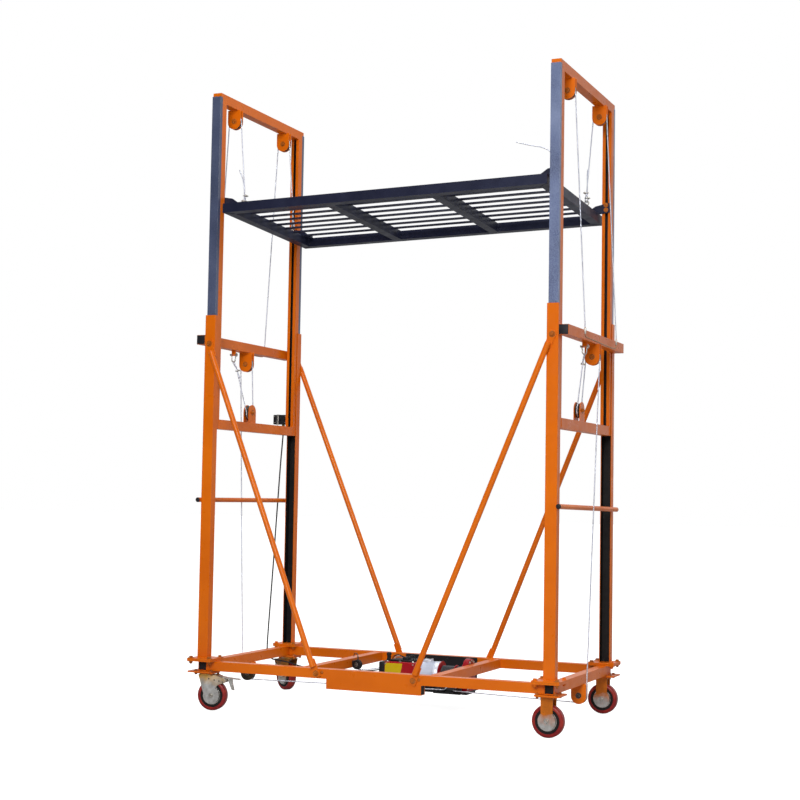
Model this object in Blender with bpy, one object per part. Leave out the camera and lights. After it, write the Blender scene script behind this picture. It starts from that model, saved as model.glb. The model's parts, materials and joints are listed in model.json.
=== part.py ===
"""Telescopic lift scaffold with a hanging slatted platform.

X runs along the length, Y from front to back, Z up. The origin is on the floor,
in the middle of the footprint. All sizes are in metres.
"""
import math

import bmesh
import bpy
from mathutils import Matrix, Vector

# ---------------------------------------------------------------- driving sizes
GAP = 0.0003            # clearance between pieces that touch
TUBE = 0.050            # square tube of the base, bars and masts
WALL = 0.003            # tube wall

FRAME_X = 0.950         # centre of the end frames
DEPTH = 0.500           # front face of the outer posts
POST_W = 0.060          # outer post width along X
POST_D = 0.045          # outer post flange depth
POST_T = 0.004          # outer post wall
POST_TOP = 2.078

RAIL_LO = 0.206         # base rails
RAIL_HI = 0.256
RAIL_Y = 0.495          # outer face of the front and back rails
CROSS_X = {"left": -0.361, "right": 0.345}
BEAM_X = (-0.227, 0.292)
BEAM_LO = 0.157

PLATE_X = 0.945         # corner plates
PLATE_Y = 0.475
PLATE_S = 0.140
PLATE_T = 0.008
FOOT_X = 0.951          # plates under the corners
FOOT_S = 0.126

BAR_TOP = 1.973         # upper cross bars
HANDLE_Z = 1.098
HANDLE_R = 0.0125
BRACE_R = 0.0145
BRACE_TOP = (0.950, 1.925)
BRACE_FEET = {"front_left": (-0.281, 0.232), "front_right": (0.252, 0.228),
              "back_left": (-0.250, 0.232), "back_right": (0.275, 0.230)}

MAST_W = 0.050
MAST_FRONT = 0.493      # outer face of the mast legs
SKIN_D = 0.025          # blue-grey tube depth
CHANNEL_D = 0.042       # lipped channel depth
SLOT = 0.016
MAST_LO = 1.476
MAST_HI = 3.278

WHEEL_R = 0.079
WHEEL_W = 0.045
CASTER_Y = 0.470
RIGID_X = 0.940
SWIVEL_X = 0.936
TRAIL = 0.035
HEADINGS = {"front": 10.0, "back": 150.0}   # which way the swivel casters trail, in degrees
CASTER_TOP = 0.192      # underside of the fixed caster plate
CASTER_PLATE = (0.104, 0.090)
FORK_EYE = 0.044        # radius of the fork's round lower end
FORK_GAP = 0.004        # between the wheel and the fork's legs
FORK_T = 0.004
FORK_HALF = 0.031       # half width of a rigid fork's leg
FORK_BACK = 0.037       # swivel fork: reach behind and ahead of its axis
FORK_FRONT = 0.056
SHOULDER = ((0.068, 0.132), (0.084, 0.141), (0.102, 0.145), (0.113, 0.149), (0.118, 0.158),
            (0.112, 0.166))
RACE_R = 0.038          # swivel bearing under the caster plate
RACE_T = 0.006
BRAKE_PIVOT = (0.100, 0.158)
PEDAL_REACH = {"front": 0.085, "back": 0.056}   # the back one keeps within the frame's outline

PULLEY_R = 0.040
PULLEY_W = 0.018
GROOVE_R = 0.0325
ROPE_R = 0.003
PITCH_R = 0.0365        # rope centre on a pulley
PIN_R = 0.008
CHEEK_T = 0.004
CHEEK_R = 0.0395        # half width and rounding of a pulley's cheek
CHEEK_TIP = 0.043       # from the pulley's axle to the cheek's tip
CHEEK_GAP = 0.0015      # between a pulley and its cheeks

TOP_PULLEY = (0.950, 0.285, 3.167)
FIXED_PULLEY = (1.005, 0.0, 1.858)
MOVING_PULLEY = (0.950, -0.050, 1.583)
BASE_PULLEY = (0.950, 0.0, 0.148)

DECK_X = 0.005          # platform centre and half sizes
DECK_HX = 0.905
DECK_HY = 0.487
DECK_Z = 2.6245         # underside of the platform's rails at its centre
DECK_SLOPE_X = 0.0212   # it hangs a little out of level
DECK_SLOPE_Y = -0.0443
RAIL_S = 0.050
SLATS = 8
SLAT_PITCH = 0.100
SLAT_W = 0.030
SLAT_T = 0.006
BAYS = 3
ARM_T = 0.008           # corner brackets that run in the masts' slots
ARM_GAP = 0.004
ARM_FOOT = 0.085
ROLLER_R = 0.0065
ROLLER_LEVELS = (0.018, 0.044)
DECK_ROPE_X = 0.880

HOIST_Y = 0.130         # winch axis
HOIST_Z = 0.195
DRUM_X = (0.150, 0.286)
DRUM_CORE = 0.038
DRUM_FLANGE = 0.066
DRUM_MIDDLE = (0.236, 0.050)    # flange between the two ropes: place and radius
SHAFT_R = 0.012
HOIST_BOX = ((-0.150, 0.050, 0.122), (0.026, 0.205, 0.250))
HOIST_END = ((-0.188, 0.062, 0.130), (-0.149, 0.196, 0.246))
MOTOR_X = (0.0263, 0.146)
MOTOR_R = 0.063
GEARBOX_X = (0.2895, 0.3190)
GEARBOX_HALF = 0.065
GEARBOX_TOP = 0.218     # centre of the gearbox plate's round top
TRAY_X = (-0.190, 0.319)
TRAY_Y = 0.052
TRAY_Z = (0.108, 0.114)
TRAY_BACK_X = 0.235     # right end of the tray's upright
GUIDE_Y = 0.024         # rope guides in front of the drum
GUIDES = ((0.188, 0.127), (0.284, 0.125))
GUIDE_R = 0.024
GUIDE_GROOVE = 0.019
GUIDE_REACH = 0.0225

SWITCH_W = 0.090
SWITCH_Y = (0.452, 0.496)
SWITCH_Z = (1.544, 1.600)
CABLE_R = 0.004
# hanging cable: down the outer side, under the end rail, in to the winch
CABLE_ROUTE = ((-1.012, 0.470, 1.5200), (-1.012, 0.470, 1.490), (-1.012, 0.461, 1.420),
               (-1.012, 0.448, 1.330), (-1.012, 0.435, 1.220), (-1.012, 0.422, 1.100),
               (-1.013, 0.407, 0.950), (-1.013, 0.391, 0.790), (-1.013, 0.374, 0.640),
               (-1.013, 0.354, 0.470), (-1.012, 0.338, 0.350), (-1.008, 0.323, 0.252),
               (-0.996, 0.317, 0.213), (-0.970, 0.312, 0.194), (-0.930, 0.304, 0.189),
               (-0.860, 0.288, 0.184), (-0.760, 0.262, 0.168), (-0.640, 0.232, 0.157),
               (-0.520, 0.202, 0.155), (-0.400, 0.172, 0.162), (-0.300, 0.149, 0.171),
               (-0.230, 0.136, 0.178), (-0.1890, 0.130, 0.180))

SIDES = (("left", -1), ("right", 1))
ENDS = (("front", -1), ("back", 1))


# ---------------------------------------------------------------- scene set-up
def clear_scene():
    for obj in list(bpy.data.objects):
        bpy.data.objects.remove(obj, do_unlink=True)


def new_collection(name):
    collection = bpy.data.collections.new(name)
    bpy.context.scene.collection.children.link(collection)
    return collection


def new_material(name, colour, roughness, metallic):
    material = bpy.data.materials.new(name)
    material.use_nodes = True
    shader = material.node_tree.nodes["Principled BSDF"]
    shader.inputs["Base Color"].default_value = (*colour, 1.0)
    shader.inputs["Roughness"].default_value = roughness
    shader.inputs["Metallic"].default_value = metallic
    material.diffuse_color = (*colour, 1.0)
    return material


clear_scene()
PARTS = new_collection("lift_scaffold")
CUTTERS = new_collection("cutters")

FINISHES = {
    "orange": ((0.72, 0.19, 0.02), 0.45, 0.0),
    "navy": ((0.05, 0.07, 0.11), 0.5, 0.0),
    "zinc": ((0.62, 0.58, 0.50), 0.35, 1.0),
    "tyre": ((0.35, 0.03, 0.04), 0.5, 0.0),
    "dark": ((0.06, 0.05, 0.05), 0.4, 0.3),
    "black": ((0.02, 0.02, 0.02), 0.5, 0.0),
    "silver": ((0.65, 0.66, 0.68), 0.4, 0.9),
    "red": ((0.45, 0.02, 0.03), 0.4, 0.0),
    "steel_rope": ((0.45, 0.45, 0.47), 0.4, 0.9),
    "cable": ((0.02, 0.02, 0.02), 0.6, 0.0),
}


# ---------------------------------------------------------------- mesh helpers
def make_object(name, bm, finish, collection=None):
    """Turn a bmesh into a named object with its own material."""
    bmesh.ops.recalc_face_normals(bm, faces=bm.faces)
    mesh = bpy.data.meshes.new(name)
    bm.to_mesh(mesh)
    bm.free()
    obj = bpy.data.objects.new(name, mesh)
    (collection or PARTS).objects.link(obj)
    if finish:
        obj.data.materials.append(new_material(name + "_finish", *FINISHES[finish]))
    return obj


def box_mesh(low, high):
    bm = bmesh.new()
    bmesh.ops.create_cube(bm, size=1.0)
    for vert in bm.verts:
        for axis in range(3):
            centre = (low[axis] + high[axis]) / 2
            vert.co[axis] = centre + vert.co[axis] * (high[axis] - low[axis])
    return bm


def frame_for(axis):
    """Two cross directions for an axis letter, right-handed with it."""
    return {"X": (Vector((0, 1, 0)), Vector((0, 0, 1)), Vector((1, 0, 0))),
            "Y": (Vector((0, 0, 1)), Vector((1, 0, 0)), Vector((0, 1, 0))),
            "Z": (Vector((1, 0, 0)), Vector((0, 1, 0)), Vector((0, 0, 1)))}[axis]


def loft(bm, rings, closed=True):
    """Join rings of vertices; the last joins the first when closed is False."""
    count = len(rings[0])
    pairs = list(zip(rings, rings[1:]))
    if not closed:
        pairs.append((rings[-1], rings[0]))
    for lower, upper in pairs:
        for i in range(count):
            j = (i + 1) % count
            bm.faces.new((lower[i], lower[j], upper[j], upper[i]))


def extrude_mesh(outline, plane, start, end):
    """Extrude a closed outline, given in the two axes of plane, along the third."""
    index = {"X": 0, "Y": 1, "Z": 2}
    first, second = index[plane[0]], index[plane[1]]
    third = 3 - first - second
    bm = bmesh.new()
    rings = []
    for level in (start, end):
        ring = []
        for a, b in outline:
            co = [0.0, 0.0, 0.0]
            co[first], co[second], co[third] = a, b, level
            ring.append(bm.verts.new(co))
        rings.append(ring)
    loft(bm, rings)
    bm.faces.new(rings[0][::-1])
    bm.faces.new(rings[1])
    return bm


def square_tube_mesh(axis, low, high, wall=WALL):
    """Hollow tube, open at both ends along axis."""
    third = "XYZ".index(axis)
    first, second = [i for i in range(3) if i != third]
    bm = bmesh.new()
    rings = []
    for inset, level in ((0, low[third]), (0, high[third]), (wall, high[third]), (wall, low[third])):
        a0, a1 = low[first] + inset, high[first] - inset
        b0, b1 = low[second] + inset, high[second] - inset
        ring = []
        for a, b in ((a0, b0), (a1, b0), (a1, b1), (a0, b1)):
            co = [0.0, 0.0, 0.0]
            co[first], co[second], co[third] = a, b, level
            ring.append(bm.verts.new(co))
        rings.append(ring)
    loft(bm, rings, closed=False)
    return bm


def ring_points(centre, axis, radius, count):
    u, v, _ = frame_for(axis)
    turns = [2 * math.pi * i / count for i in range(count)]
    return [centre + u * radius * math.cos(t) + v * radius * math.sin(t) for t in turns]


def cylinder_mesh(axis, centre, start, end, radius, count=24):
    """Solid cylinder along an axis, from start to end on it."""
    _, _, along = frame_for(axis)
    base = Vector(centre)
    base -= along * base.dot(along)
    bm = bmesh.new()
    rings = []
    for level in (start, end):
        points = ring_points(base + along * level, axis, radius, count)
        rings.append([bm.verts.new(p) for p in points])
    loft(bm, rings)
    bm.faces.new(rings[0][::-1])
    bm.faces.new(rings[1])
    return bm


def turned_mesh(axis, centre, profile, count=32):
    """Spin a closed profile of (radius, distance along the axis) round the axis."""
    _, _, along = frame_for(axis)
    bm = bmesh.new()
    rings = []
    for radius, level in profile:
        points = ring_points(Vector(centre) + along * level, axis, radius, count)
        rings.append([bm.verts.new(p) for p in points])
    loft(bm, rings, closed=False)
    return bm


def pipe_mesh(points, radius, count=8, hollow=0.0):
    """Round bar or pipe that follows points, with steady cross sections."""
    points = [Vector(p) for p in points]
    tangents = []
    for i, point in enumerate(points):
        before = points[max(i - 1, 0)]
        after = points[min(i + 1, len(points) - 1)]
        tangents.append((after - before).normalized())
    side = tangents[0].orthogonal().normalized()
    bm = bmesh.new()
    outer, inner = [], []
    for point, tangent in zip(points, tangents):
        side = (side - tangent * side.dot(tangent)).normalized()
        up = tangent.cross(side)
        for ring, size in ((outer, radius), (inner, radius - hollow)):
            if ring is inner and not hollow:
                continue
            turns = [2 * math.pi * k / count for k in range(count)]
            ring.append([bm.verts.new(point + side * size * math.cos(t) + up * size * math.sin(t))
                         for t in turns])
    if hollow:
        loft(bm, outer + inner[::-1], closed=False)
    else:
        loft(bm, outer)
        bm.faces.new(outer[0][::-1])
        bm.faces.new(outer[-1])
    return bm


def combine(obj, bm, operation="UNION"):
    """Join a second solid to obj, or cut it away."""
    number = len(obj.modifiers)
    tool = make_object("{}_tool_{}".format(obj.name, number), bm, None, CUTTERS)
    tool.hide_render = True
    modifier = obj.modifiers.new("join" if operation == "UNION" else "cut", "BOOLEAN")
    modifier.operation = operation
    modifier.solver = "EXACT"
    modifier.object = tool


def arc(centre, radius, start, end, steps):
    """Points on an arc, angles in degrees."""
    angles = [math.radians(start + (end - start) * i / steps) for i in range(steps + 1)]
    return [(centre[0] + radius * math.cos(a), centre[1] + radius * math.sin(a)) for a in angles]


# ---------------------------------------------------------------- base frame
def build_rails():
    for end, sy in ENDS:
        ys = sorted((sy * RAIL_Y, sy * (RAIL_Y - TUBE)))
        reach = FRAME_X - TUBE / 2 - GAP
        bm = square_tube_mesh("X", (-reach, ys[0], RAIL_LO + GAP), (reach, ys[1], RAIL_HI - GAP))
        make_object("rail_" + end, bm, "orange")
    for side, sx in SIDES:
        x = CROSS_X[side]
        reach = RAIL_Y - TUBE - GAP
        low = (x - TUBE / 2, -reach, RAIL_LO + GAP)
        high = (x + TUBE / 2, reach, RAIL_HI - GAP)
        make_object("cross_member_" + side, square_tube_mesh("Y", low, high), "orange")


def build_deep_beam():
    """Tube hung under the front rail, with a thin plate that covers the rail's face."""
    skin = 0.002
    front = -RAIL_Y - skin - GAP
    low = (BEAM_X[0], front, BEAM_LO)
    high = (BEAM_X[1], -RAIL_Y + TUBE, RAIL_LO)
    beam = make_object("deep_beam", square_tube_mesh("X", low, high), "orange")
    plate = box_mesh((BEAM_X[0], front, RAIL_LO - 0.002), (BEAM_X[1], front + skin, RAIL_HI))
    combine(beam, plate)


def cheek_outline(root, tip):
    """Pulley cheek: straight at the root, rounded at the tip. Returns (a, z) points."""
    down = -1 if tip < root else 1
    centre = tip - down * CHEEK_R
    start, end = (180, 360) if down < 0 else (180, 0)
    return [(CHEEK_R, root), (-CHEEK_R, root)] + arc((0, centre), CHEEK_R, start, end, 12)


def add_cheeks(obj, centre, axis, root, gap=CHEEK_GAP):
    """Two cheeks and the axle pin of a pulley, joined to obj."""
    x, y, z = centre
    inner = PULLEY_W / 2 + gap
    middle, cross = (y, x) if axis == "Y" else (x, y)
    plane = "XZ" if axis == "Y" else "YZ"
    tip = z - CHEEK_TIP if root > z else z + CHEEK_TIP
    outline = [(cross + a, level) for a, level in cheek_outline(root, tip)]
    for sign in (-1, 1):
        near, far = sorted((middle + sign * inner, middle + sign * (inner + CHEEK_T)))
        combine(obj, extrude_mesh(outline, plane, near, far))
    reach = inner + CHEEK_T + 0.006
    combine(obj, cylinder_mesh(axis, centre, middle - reach, middle + reach, PIN_R, 12))


def build_end_rails():
    for side, sx in SIDES:
        x = sx * FRAME_X
        low = (x - TUBE / 2, -RAIL_Y, RAIL_LO - 0.0002)
        high = (x + TUBE / 2, RAIL_Y, RAIL_HI + 0.0002)
        rail = make_object("end_rail_" + side, square_tube_mesh("Y", low, high), "orange")
        caster_x = sx * (RIGID_X if sx > 0 else SWIVEL_X)
        for end, sy in ENDS:
            plate_x = sx * PLATE_X
            half = PLATE_S / 2
            combine(rail, box_mesh((plate_x - half, sy * PLATE_Y - half, RAIL_HI),
                                   (plate_x + half, sy * PLATE_Y + half, RAIL_HI + PLATE_T)))
            half = FOOT_S / 2
            foot_x = sx * FOOT_X
            combine(rail, box_mesh((foot_x - half, sy * PLATE_Y - half, RAIL_LO - PLATE_T),
                                   (foot_x + half, sy * PLATE_Y + half, RAIL_LO)))
            long, wide = CASTER_PLATE[0] / 2, CASTER_PLATE[1] / 2
            combine(rail, box_mesh((caster_x - long, sy * CASTER_Y - wide, CASTER_TOP),
                                   (caster_x + long, sy * CASTER_Y + wide, RAIL_LO - PLATE_T + 0.001)))
        centre = (sx * BASE_PULLEY[0], BASE_PULLEY[1], BASE_PULLEY[2])
        add_cheeks(rail, centre, "Y", RAIL_LO + 0.001)


def build_posts():
    """Open U-channels: the web faces outward, the open side faces the other post."""
    for side, sx in SIDES:
        for end, sy in ENDS:
            x = sx * FRAME_X
            half = POST_W / 2
            web, lip = DEPTH, DEPTH - POST_D
            outline = [(x - half, web), (x + half, web), (x + half, lip), (x + half - POST_T, lip),
                       (x + half - POST_T, web - POST_T), (x - half + POST_T, web - POST_T),
                       (x - half + POST_T, lip), (x - half, lip)]
            outline = [(a, sy * b) for a, b in outline]
            foot = RAIL_HI + PLATE_T + GAP
            name = "post_{}_{}".format(end, side)
            post = make_object(name, extrude_mesh(outline, "XY", foot + 0.002, POST_TOP), "orange")
            half = PLATE_S / 2
            plate_x = sx * PLATE_X
            combine(post, box_mesh((plate_x - half, sy * PLATE_Y - half, foot),
                                   (plate_x + half, sy * PLATE_Y + half, foot + PLATE_T)))


def build_upper_bars():
    for side, sx in SIDES:
        inner = FRAME_X + POST_W / 2 + GAP
        xs = sorted((sx * inner, sx * (inner + TUBE)))
        low = (xs[0], -DEPTH, BAR_TOP - TUBE)
        high = (xs[1], DEPTH, BAR_TOP)
        bar = make_object("upper_bar_" + side, square_tube_mesh("Y", low, high), "orange")
        centre = (sx * FIXED_PULLEY[0], FIXED_PULLEY[1], FIXED_PULLEY[2])
        add_cheeks(bar, centre, "Y", BAR_TOP - TUBE + 0.001)
        x = sx * FIXED_PULLEY[0]
        combine(bar, box_mesh((x - 0.012, -0.150, 1.893), (x + 0.012, -0.142, BAR_TOP - TUBE + 0.001)))


def build_handles():
    for side, sx in SIDES:
        x = sx * (FRAME_X + POST_W / 2 + GAP + HANDLE_R)
        drop = 0.016 if sx > 0 else 0.0
        points = [(x, -0.512, HANDLE_Z), (x, 0.512, HANDLE_Z - drop)]
        make_object("handle_" + side, pipe_mesh(points, HANDLE_R, 20, hollow=0.002), "orange")


def build_braces():
    """Round tube with flattened ends, bolted outside the post and outside the rail."""
    for end, sy in ENDS:
        for side, sx in SIDES:
            foot_x, foot_z = BRACE_FEET[end + "_" + side]
            top = Vector((sx * BRACE_TOP[0], 0, BRACE_TOP[1]))
            foot = Vector((foot_x, 0, foot_z))
            along = (top - foot).normalized()
            across = Vector((along.z, 0, -along.x))
            line = sy * (DEPTH + GAP + 0.0165)
            ends = [foot + along * 0.035, top - along * 0.045]
            points = [(p.x, line, p.z) for p in ends]
            name = "brace_{}_{}".format(end, side)
            brace = make_object(name, pipe_mesh(points, BRACE_R, 20), "orange")
            near, far = sorted((sy * (DEPTH + GAP), sy * (DEPTH + GAP + 0.006)))
            for tip, heading in ((top, -1), (foot, 1)):
                start = tip - along * heading * 0.020
                finish = tip + along * heading * 0.075
                corners = [start + across * 0.020, start - across * 0.020,
                           finish - across * 0.0155, finish + across * 0.0155]
                combine(brace, extrude_mesh([(c.x, c.z) for c in corners], "XZ", near, far))
            # washer between the flattened foot and the rail
            seat = RAIL_Y + (0.0023 if end == "front" and side == "right" else 0.0) + GAP
            low, high = sorted((sy * seat, sy * (DEPTH + GAP + 0.003)))
            combine(brace, cylinder_mesh("Y", (foot.x, 0, foot.z), low, high, 0.012, 16))


# ---------------------------------------------------------------- casters
def wheel_centre(side, sx, end, sy):
    if side == "right":
        return Vector((RIGID_X, sy * CASTER_Y, WHEEL_R))
    turn = math.radians(HEADINGS[end])
    return Vector((sx * SWIVEL_X + TRAIL * math.cos(turn), sy * CASTER_Y + TRAIL * math.sin(turn), WHEEL_R))


def fork_parts(trail, rigid):
    """Fork solids about the swivel axis, wheel towards +X, in local metres."""
    inner = WHEEL_W / 2 + FORK_GAP
    head_top = CASTER_TOP - GAP
    top = head_top if rigid else head_top - RACE_T
    back, front = (-FORK_HALF, FORK_HALF) if rigid else (-FORK_BACK, FORK_FRONT)
    solids = [box_mesh((back, -inner - 0.0025, top - 0.006), (front, inner + 0.0025, top))]
    if not rigid:
        solids.append(cylinder_mesh("Z", (0, 0, 0), top - 0.003, head_top, RACE_R, 24))
    leg = [(back, top)] + arc((trail, WHEEL_R), FORK_EYE, 132 if rigid else 165, 408 if rigid else 420, 18)
    leg += [(front, top)] if rigid else [*SHOULDER, (front + 0.002, top)]
    for sign in (-1, 1):
        near, far = sorted((sign * inner, sign * (inner + FORK_T)))
        solids.append(extrude_mesh(leg, "XZ", near, far))
    reach = inner + 0.010
    solids.append(cylinder_mesh("Y", (trail, 0, WHEEL_R), -reach, reach, PIN_R, 12))
    return solids


def place(obj, position, turn=0.0):
    """Move an object and its tools to the caster's swivel axis."""
    matrix = Matrix.Translation(position) @ Matrix.Rotation(turn, 4, "Z")
    obj.matrix_world = matrix
    for modifier in obj.modifiers:
        modifier.object.matrix_world = matrix


def wheel_profile():
    """Tyre with rounded shoulders and a slightly sunk hub face."""
    half = WHEEL_W / 2
    sunk = half - 0.004
    shoulder = 0.010
    rim, edge = WHEEL_R - 0.021, WHEEL_R - 0.007
    lower = [(PIN_R + 0.0004, -sunk), (rim - 0.004, -sunk), (rim, -half), (edge, -half),
             (WHEEL_R, -half + shoulder)]
    return lower + [(radius, -level) for radius, level in reversed(lower)]


def build_casters():
    for side, sx in SIDES:
        for end, sy in ENDS:
            rigid = sx > 0
            trail = 0.0 if rigid else TRAIL
            turn = 0.0 if rigid else math.radians(HEADINGS[end])
            axis_x = RIGID_X if rigid else -SWIVEL_X
            solids = fork_parts(trail, rigid)
            name = "{}_{}".format(end, side)
            fork = make_object("fork_" + name, solids[0], "zinc")
            for solid in solids[1:]:
                combine(fork, solid)
            place(fork, (axis_x, sy * CASTER_Y, 0), turn)
            profile = wheel_profile()
            wheel = make_object("wheel_" + name, turned_mesh("Y", (0, 0, 0), profile, 32), "tyre")
            centre = wheel_centre(side, sx, end, sy)
            wheel.matrix_world = Matrix.Translation(centre) @ Matrix.Rotation(turn, 4, "Z")
            if not rigid:
                build_brake(name, (axis_x, sy * CASTER_Y, 0), turn, PEDAL_REACH[end])


def build_brake(name, position, turn, reach):
    """Pedal hinged between the fork's legs, behind the wheel, with a lever below it."""
    x, z = BRAKE_PIVOT
    blade = [(x - 0.040, z + 0.020), (x - 0.008, z + 0.0125), (x - 0.006, z - 0.006), (x + 0.006, z - 0.006),
             (x + 0.008, z + 0.011), (x + reach, z + 0.006), (x + reach, z + 0.009), (x + 0.010, z + 0.016),
             (x - 0.040, z + 0.025)]
    pedal = make_object("brake_pedal_" + name, extrude_mesh(blade, "XZ", -0.019, 0.019), "zinc")
    lever = [(x + 0.018, z + 0.011), (x + 0.026, z - 0.012), (x + 0.040, z - 0.046),
             (x + 0.052, z - 0.050), (x + 0.044, z - 0.018), (x + 0.040, z + 0.010)]
    combine(pedal, extrude_mesh(lever, "XZ", -0.010, 0.010))
    place(pedal, position, turn)


# ---------------------------------------------------------------- masts
def leg_outline(x, sy):
    """Lipped channel that opens towards the other leg."""
    back = MAST_FRONT - SKIN_D - GAP
    lip = back - CHANNEL_D
    half = MAST_W / 2
    t = 0.0025
    slot = SLOT / 2
    outline = [(-half, back), (half, back), (half, lip), (slot, lip), (slot, lip + t),
               (half - t, lip + t), (half - t, back - t), (-half + t, back - t),
               (-half + t, lip + t), (-slot, lip + t), (-slot, lip), (-half, lip)]
    return [(x + a, sy * b) for a, b in outline]


def build_masts():
    for side, sx in SIDES:
        x = sx * FRAME_X
        half = TUBE / 2
        reach = MAST_FRONT - SKIN_D - GAP
        bar_low = MAST_HI - TUBE
        low = (x - half, -reach, bar_low)
        high = (x + half, reach, MAST_HI)
        mast = make_object("mast_frame_" + side, box_mesh(low, high), "orange")
        inset = WALL
        combine(mast, box_mesh((x - half + inset, -reach + inset, bar_low + inset),
                               (x + half - inset, reach - inset, MAST_HI - inset)), "DIFFERENCE")
        combine(mast, cylinder_mesh("Z", (x, 0.10, 0), bar_low - 0.01, bar_low + 0.01, 0.004, 12),
                "DIFFERENCE")
        for _, sy in ENDS:
            combine(mast, extrude_mesh(leg_outline(x, sy), "XY", MAST_LO, bar_low + 0.001))
            cap = sorted((sy * (reach - 0.001), sy * (MAST_FRONT - 0.009)))
            combine(mast, box_mesh((x - half, cap[0], MAST_HI - 0.020), (x + half, cap[1], MAST_HI)))
        lip = MAST_FRONT - SKIN_D - GAP - CHANNEL_D
        bottom = box_mesh((x - half, -lip - 0.001, MAST_LO), (x + half, lip + 0.001, MAST_LO + TUBE))
        combine(mast, bottom)
        combine(mast, box_mesh((x - half + inset, -lip + inset, MAST_LO + inset),
                               (x + half - inset, lip - inset, MAST_LO + TUBE - inset)), "DIFFERENCE")
        combine(mast, cylinder_mesh("Z", (x, 0.10, 0), MAST_LO - 0.01, MAST_LO + 0.01, 0.004, 12),
                "DIFFERENCE")
        for _, sy in ENDS:
            centre = (x, sy * TOP_PULLEY[1], TOP_PULLEY[2])
            add_cheeks(mast, centre, "Y", bar_low + 0.001)
        centre = (x, MOVING_PULLEY[1], MOVING_PULLEY[2])
        add_cheeks(mast, centre, "X", MAST_LO + TUBE - 0.001, gap=0.0045)
        for end, sy in ENDS:
            ys = sorted((sy * MAST_FRONT, sy * (MAST_FRONT - SKIN_D)))
            skin_low = (x - half, ys[0], MAST_LO)
            skin_high = (x + half, ys[1], MAST_HI - 0.020 - GAP)
            bm = square_tube_mesh("Z", skin_low, skin_high, 0.002)
            make_object("mast_tube_{}_{}".format(end, side), bm, "navy")


# ---------------------------------------------------------------- pulleys
def pulley_profile():
    half = PULLEY_W / 2
    floor = ROPE_R + 0.0007
    return [(PIN_R + 0.0004, -half), (PULLEY_R, -half), (GROOVE_R, -floor), (GROOVE_R, floor),
            (PULLEY_R, half), (PIN_R + 0.0004, half)]


def build_pulleys():
    for side, sx in SIDES:
        spots = {"pulley_top_front_" + side: ((TOP_PULLEY[0], -TOP_PULLEY[1], TOP_PULLEY[2]), "Y"),
                 "pulley_top_back_" + side: (TOP_PULLEY, "Y"),
                 "pulley_fixed_" + side: (FIXED_PULLEY, "Y"),
                 "pulley_moving_" + side: (MOVING_PULLEY, "X"),
                 "pulley_base_" + side: (BASE_PULLEY, "Y")}
        for name, (centre, axis) in spots.items():
            bm = turned_mesh(axis, (0, 0, 0), pulley_profile(), 20)
            wheel = make_object(name, bm, "dark")
            wheel.location = (sx * centre[0], centre[1], centre[2])


# ---------------------------------------------------------------- platform
def deck_matrix():
    """Level platform coordinates to where it hangs, a little out of level."""
    turn_y = Matrix.Rotation(-math.atan(DECK_SLOPE_X), 4, "Y")
    turn_x = Matrix.Rotation(math.atan(DECK_SLOPE_Y), 4, "X")
    return Matrix.Translation((DECK_X, 0, DECK_Z)) @ turn_y @ turn_x


def build_platform():
    """Welded frame with cross members and slats, and an arm at each corner."""
    deck = make_object("platform", box_mesh((-DECK_HX, -DECK_HY, 0), (DECK_HX, DECK_HY, RAIL_S)), "navy")
    inner_y = DECK_HY - RAIL_S
    bay = (2 * DECK_HX - (BAYS + 1) * RAIL_S) / BAYS
    slats = [SLAT_PITCH * (i - (SLATS - 1) / 2) for i in range(SLATS)]
    for number in range(BAYS):
        x0 = -DECK_HX + RAIL_S + number * (bay + RAIL_S)
        low = (x0, -inner_y, -0.01)
        high = (x0 + bay, inner_y, RAIL_S - SLAT_T)
        combine(deck, box_mesh(low, high), "DIFFERENCE")
        edges = [-inner_y]
        for y in slats:
            edges += [y - SLAT_W / 2, y + SLAT_W / 2]
        edges.append(inner_y)
        for start, end in zip(edges[0::2], edges[1::2]):
            low = (x0, start, RAIL_S - SLAT_T - 0.01)
            combine(deck, box_mesh(low, (x0 + bay, end, RAIL_S + 0.01)), "DIFFERENCE")
    hollow_deck(deck, bay)
    matrix = deck_matrix()
    deck.matrix_world = matrix
    for modifier in deck.modifiers:
        modifier.object.matrix_world = matrix
    for sx in (-1, 1):
        for sy in (-1, 1):
            build_arm(deck, sx, sy)


def hollow_deck(deck, bay):
    """Bores out the frame's tubes, which open into each other and into a drain hole."""
    top = RAIL_S - WALL
    for sy in (-1, 1):
        ys = sorted((sy * (DECK_HY - WALL), sy * (DECK_HY - RAIL_S + WALL)))
        low = (-DECK_HX + WALL, ys[0], WALL)
        combine(deck, box_mesh(low, (DECK_HX - WALL, ys[1], top)), "DIFFERENCE")
    for number in range(BAYS + 1):
        x0 = -DECK_HX + number * (bay + RAIL_S)
        low = (x0 + WALL, -DECK_HY + 2 * WALL, WALL + 0.0005)
        high = (x0 + RAIL_S - WALL, DECK_HY - 2 * WALL, top - 0.0005)
        combine(deck, box_mesh(low, high), "DIFFERENCE")
    drain = (0.300, DECK_HY - RAIL_S / 2, 0)
    combine(deck, cylinder_mesh("Z", drain, -0.01, 0.01, 0.004, 8), "DIFFERENCE")


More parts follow.
